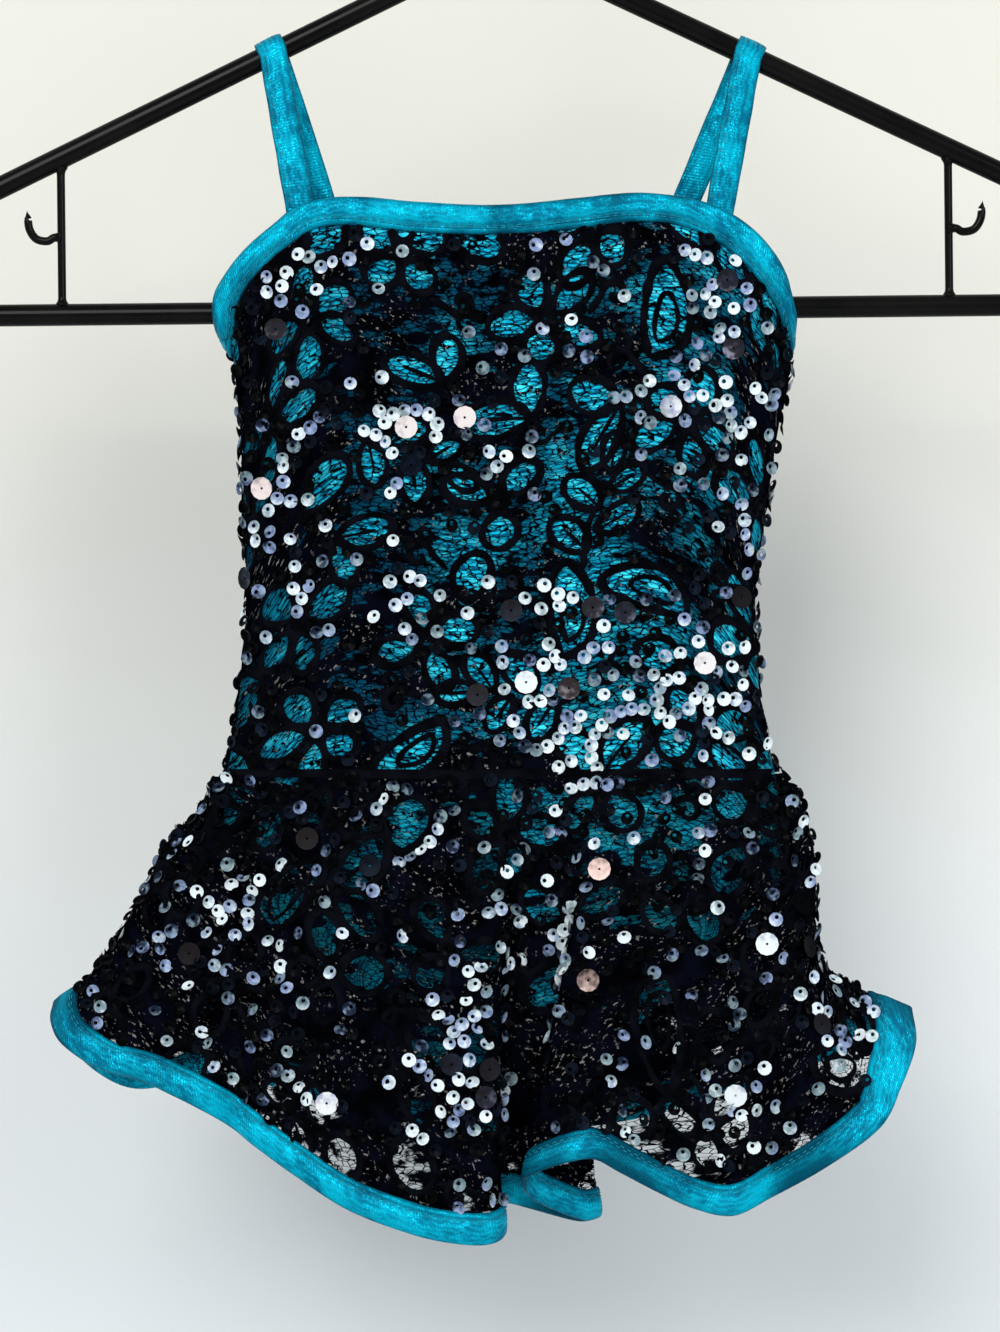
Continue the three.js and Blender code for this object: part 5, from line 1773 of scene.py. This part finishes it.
def sequin_places(key, seed, share):
    """Grid places of every cup sequin on a panel, and how bright each one is."""
    cloth, first, last, _, fill, _ = PANELS[key]
    draw = np.random.default_rng(seed)
    room = Room(CUP_SPACING)
    bare, bright = patches(cloth, BARE_PATCHES), patches(cloth, BRIGHT_PATCHES)
    keep = cloth.span(first, last)
    places, shines = [], []
    large = at_grid(cloth.points, *flat_places[key][:, :2].T)
    for chance, cloud in ((0.6, chains(cloth, outlines[key], first, last, draw)),
                          (share, strewn(cloth, first, last, draw))):
        i, j, luck = cloud.T
        worked, thin, lit = (at_grid(field, i, j) for field in (fill, bare, bright))
        points = at_grid(cloth.points, i, j)
        wish = chance * (1 + 1.2 * lit) * np.clip(0.75 * worked + 0.05 + 1.3 * lit, 0, 1.2)
        taken = draw.random(len(i)) < wish * (1 - np.clip(thin, 0, 1))
        taken &= (j > keep[0] + 1) & (j < keep[-1] - 1) & (i > 0.05) & (i < len(cloth.u) - 1.1)
        for k in np.flatnonzero(taken):
            bright_chance = 0.03 + 1.1 * lit[k]
            unseen = luck[k] > bright_chance + MIDDLING and draw.random() < 0.5
            clear = np.linalg.norm(large - points[k], axis=1).min() > CLEAR_OF_FLAT
            if not unseen and clear and room.takes(points[k]):
                places.append((i[k], j[k]))
                if luck[k] < bright_chance:
                    shines.append(draw.uniform(0.66, 0.98))
                else:
                    middling = luck[k] < bright_chance + MIDDLING
                    shines.append(draw.uniform(0.38, 0.66) if middling else draw.uniform(0, 0.22))
    return np.array(places), np.array(shines)


# %% Sewing the sequins on
SIDE_SINK = 0.8 * MM  # how much closer a piece at a side seam is sewn


def sewn_on(key, kind, places, lift, marks, inputs):
    cloth, _, _, offset, *_ = PANELS[key]
    i, j = places.T
    normals = at_grid(cloth.normals, i, j)
    at_side = (i < 1) | (i > len(cloth.u) - 2.2)
    lift = lift + offset
    out = normals * np.where(at_side, lift - SIDE_SINK, lift)[:, None]
    return grown(f"{'_'.join(key)}_{kind}", at_grid(cloth.points, i, j) + out, SEQUINS,
                 {**inputs, "Finish": SEQUIN_FILM}, {"lie": normals, **marks})


SEWING = {"bodice": (0.4, 0.4), "skirt": (0.42, 0.62)}  # the chance of a strewn cup, and its tilt
sequins = {}
for number, key in enumerate(PANELS):
    share, tilt = SEWING[key[0]]
    places, shines = sequin_places(key, 101 + number, share)
    sizes = np.random.default_rng(number).uniform(0.92, 1.06, len(places))
    marks = {"size": sizes, "shine": shines, "warmth": np.zeros(len(places))}
    sequins[key] = sewn_on(
        key, "cup_sequins", places, 0.7 * MM, marks, {"Seed": number, "Tilt": tilt})
    print(sequins[key].name, len(places), "sequins,", len(sequins[key].data.polygons), "faces")

flats = {}
FLAT_SHAPE = {
    "Seed": 7, "Diameter": 8.3 * MM, "Hole": 0.9 * MM, "Depth": 0.25 * MM, "Aside": 0.0,
    "Tilt": 0.12,
}
for key, places in flat_places.items():
    shine, warmth = places[:, 2:].T
    marks = {"size": np.ones(len(places)), "shine": shine, "warmth": warmth}
    flats[key] = sewn_on(key, "flat_sequins", places[:, :2], 1.5 * MM, marks, FLAT_SHAPE)

# %% Trim that belongs to the lace
trim = {key: [cords[key], sequins[key], flats[key]] for key in PANELS}
for side in SIDES:
    trim["skirt", side].append(waist_seams[side])
for (part, side), obj in frays.items():
    trim[part, "front"].append(obj)
for pieces in trim.values():
    for obj in pieces:
        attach(obj, "root")
print("trim:", {" ".join(key): len(pieces) for key, pieces in trim.items()})

# %% [markdown]
# ## Stitches
# The bindings and straps are sewn through with turquoise thread in two close rows, near the seam.
# Geometry Nodes walk along each row, an even step at a time, and lay one small stitch at every
# step, pointing along the row and lying flat on the cloth.

# %% The stitch tree
def stitch_tree():
    tree, given, result = group("GeometryNodeTree", "sewn_stitches", {
        "Geometry": "Geometry", "Step": 2.9 * MM, "Length": 2.1 * MM, "Thread": 0.42 * MM,
        "Finish": "Material"}, {"Geometry": "Geometry"})
    line = add(tree, "GeometryNodeMeshToCurve", {"Mesh": given["Geometry"]})
    walk = {"Curve": line, "Length": given["Step"]}
    steps = add(tree, "GeometryNodeResampleCurve", walk, mode="LENGTH")
    lie, along = named(tree, "lie", "FLOAT_VECTOR"), add(tree, "GeometryNodeInputTangent")
    turn = add(tree, "FunctionNodeAxesToRotation", {0: lie, 1: along}, primary_axis="Z",
               secondary_axis="X")
    bead = add(tree, "GeometryNodeMeshIcoSphere", {"Radius": 0.5, "Subdivisions": 1})
    shape = vector(tree, given["Length"], given["Thread"], given["Thread"])
    return sewn(tree, result, steps, {"Instance": bead, "Rotation": turn, "Scale": shape},
                given["Finish"])


def thread_finish():
    material, tree, shader = finish("turquoise_thread", Roughness=0.5, Specular_IOR_Level=0.3)
    wave = {"Vector": place_of(tree), "Scale": 900.0, "Distortion": 2.0}
    twist = add(tree, "ShaderNodeTexWave", wave)
    feed(tree, shader, {
        "Base Color": mix_colour(tree, twist, (0.001, 0.14, 0.22), (0.006, 0.30, 0.40)),
        "Normal": bumped(tree, twist, 0.08 * MM)})
    return material


STITCHES, THREAD = stitch_tree(), thread_finish()
print("tree:", STITCHES.name, "with", THREAD.name)

# %% Rows of stitches
SEAM_SHARES = (0.11, 0.2)  # the two rows, as shares of the binding's width from its seam
STRAP_SHARES = (-0.7, -0.52)  # the same on a strap, as shares of half its width from its middle
OVER_TOP, OVER_HEM, OVER_STRAP = 2.45 * MM, 1.05 * MM, 0.62 * MM


def stitched(name, lines):
    """Stitches along several lines of points with their own normals."""
    points, normals, edges, start = [], [], [], 0
    for line, lies in lines:
        points.append(line)
        normals.append(lies)
        edges += [(start + k, start + k + 1) for k in range(len(line) - 1)]
        start += len(line)
    marks = {"lie": np.concatenate(normals)}
    obj = grown(name, np.concatenate(points), STITCHES, {"Finish": THREAD}, marks, edges)
    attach(obj, "root")
    return obj


def seam_lines(cloth, seam_row, fold_row, over, faces=(1,)):
    lines = []
    for share in SEAM_SHARES:
        points, normals, *_ = grid_sample(cloth, lerp(seam_row, fold_row, share))
        for face in faces:
            lines.append(((points + face * over * normals)[3:-3], (face * normals)[3:-3]))
    return lines


def strap_seams(line):
    middles, ways, out = (values[4:-4] for values in line)
    over = middles + out * OVER_STRAP
    return [(over + ways * (share * STRAP_WIDTH / 2), out) for share in STRAP_SHARES]


seams = {}
for side, cloth in SIDES.items():
    seams[f"top_binding_{side}"] = seam_lines(cloth, 0, -1, OVER_TOP)
for side, cloth in SKIRTS.items():
    seams[f"hem_binding_{side}"] = seam_lines(cloth, *HEM_ROWS, OVER_HEM, (-1, 1))
for name, line in strap_lines.items():
    seams[name] = strap_seams(line)
stitches = {name: stitched(f"{name}_stitches", lines) for name, lines in seams.items()}
print("stitch faces:", sum(len(obj.data.polygons) for obj in stitches.values()))

# %% [markdown]
# ## What each piece stands for
# The frame's own solids are simple walls, so every cloth piece here takes the place of one: it is
# attached to the root, and the solid it stands for is hidden.


def dress(obj, node):
    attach(obj, "root")
    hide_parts(node)


def dress_binding(obj, node):
    dress(obj, node)


for side in SIDES:
    dress(leotard[side], f"leotard_{side}")
    for part, under in (("bodice", top_binding[side]), ("skirt", leotard[side])):
        dress(lace[part, side], f"{part}_{side}")
    dress_binding(top_binding[side], f"top_binding_{side}")
    dress_binding(hem_binding[side], f"hem_binding_{side}")
for name, obj in straps.items():
    dress_binding(obj, name)

# %% [markdown]
# ## Floor, wall, light and camera
# The dress hangs before a plain pale wall in soft daylight. The wall lets light and sight through
# from behind, so the back of the dress can be looked at too.

# %% Floor and wall
def plain(name, shade, low_shade, see_through=False):
    """Matt paint. See-through paint lets sight through from behind."""
    material, tree, shader = finish(name, Roughness=0.9)
    place = place_of(tree)
    height = add(tree, "ShaderNodeSeparateXYZ", {"Vector": place}, out=2)
    # Painted light: the paint runs from a cool tone low down to a warm one higher up, as the light
    # on the wall does.
    base = mix_colour(tree, between(tree, height, -0.62, -0.1), low_shade, shade)
    clouds = maths(tree, "MULTIPLY", noise(tree, place, 3.0, 2.0), 0.08)
    feed(tree, shader, {"Base Color": mix_colour(tree, clouds, base, (0.6, 0.6, 0.6))})
    if see_through:
        behind = add(tree, "ShaderNodeNewGeometry", out=6)
        feed(tree, shader, {"Alpha": maths(tree, "SUBTRACT", 1.0, behind)})
    return material


def slab(name, corners, material):
    obj = mesh_object(name, corners, [(0, 1, 2, 3)], material=material, smooth_faces=False)
    return obj


WALL_Y, WALL_TOP, FLOOR_Z, FLOOR_Y, REACH = 0.16, 0.9, -0.75, 1.2, 1.6
wall = slab(
    "wall", [(x, WALL_Y, z) for x, z in (
        (REACH, WALL_TOP), (-REACH, WALL_TOP), (-REACH, FLOOR_Z), (REACH, FLOOR_Z))],
    plain("wall_paint", (0.735, 0.725, 0.655), (0.725, 0.765, 0.785), see_through=True))
floor = slab(
    "floor", [(x, y, FLOOR_Z) for x, y in (
        (-REACH, -FLOOR_Y), (REACH, -FLOOR_Y), (REACH, FLOOR_Y), (-REACH, FLOOR_Y))],
    plain("floor_paint", (0.78, 0.79, 0.78), (0.76, 0.78, 0.79)))
print("stage:", wall.name, floor.name)

# %% Light and camera
def area_light(name, place, aim, size, power, tint=(1, 1, 1)):
    lamp = bpy.data.lights.new(name, "AREA")
    lamp.shape, lamp.size, lamp.energy, lamp.color = "SQUARE", size, power, tint
    obj = linked(name, lamp)
    obj.location = place
    obj.rotation_euler = (Vector(aim) - Vector(place)).to_track_quat("-Z", "Y").to_euler()


MIDDLE = (0, 0, -0.35)
area_light("window", (-1.2, -3.4, 1.5), MIDDLE, 2.0, 108, (1.0, 0.99, 0.97))
area_light("room", (1.7, -2.2, 0.6), MIDDLE, 1.5, 30, (0.97, 0.98, 1.0))
area_light("behind", (0.7, 1.5, 0.7), MIDDLE, 1.3, 14)
world = bpy.data.worlds.new("room_light")
world.use_nodes = True
sky = world.node_tree.nodes["Background"].inputs
sky["Color"].default_value, sky["Strength"].default_value = colour(0.82, 0.86, 0.9), 0.5
bpy.context.scene.world = world

VIEW_HEIGHT, VIEW_MIDDLE, VIEW_DISTANCE = 0.4795, -0.3332, 1.45
DRESS_PLANE, SENSOR = -0.012, 36
lens = bpy.data.cameras.new("camera")
lens.sensor_width, lens.lens = SENSOR, SENSOR * VIEW_DISTANCE / VIEW_HEIGHT
camera = linked("camera", lens)
camera.location = (0, DRESS_PLANE - VIEW_DISTANCE, VIEW_MIDDLE)
camera.rotation_euler = (math.pi / 2, 0, 0)
bpy.context.scene.camera = camera
bpy.context.scene.view_settings.view_transform = "Standard"
print("camera lens:", round(lens.lens, 1), "mm")
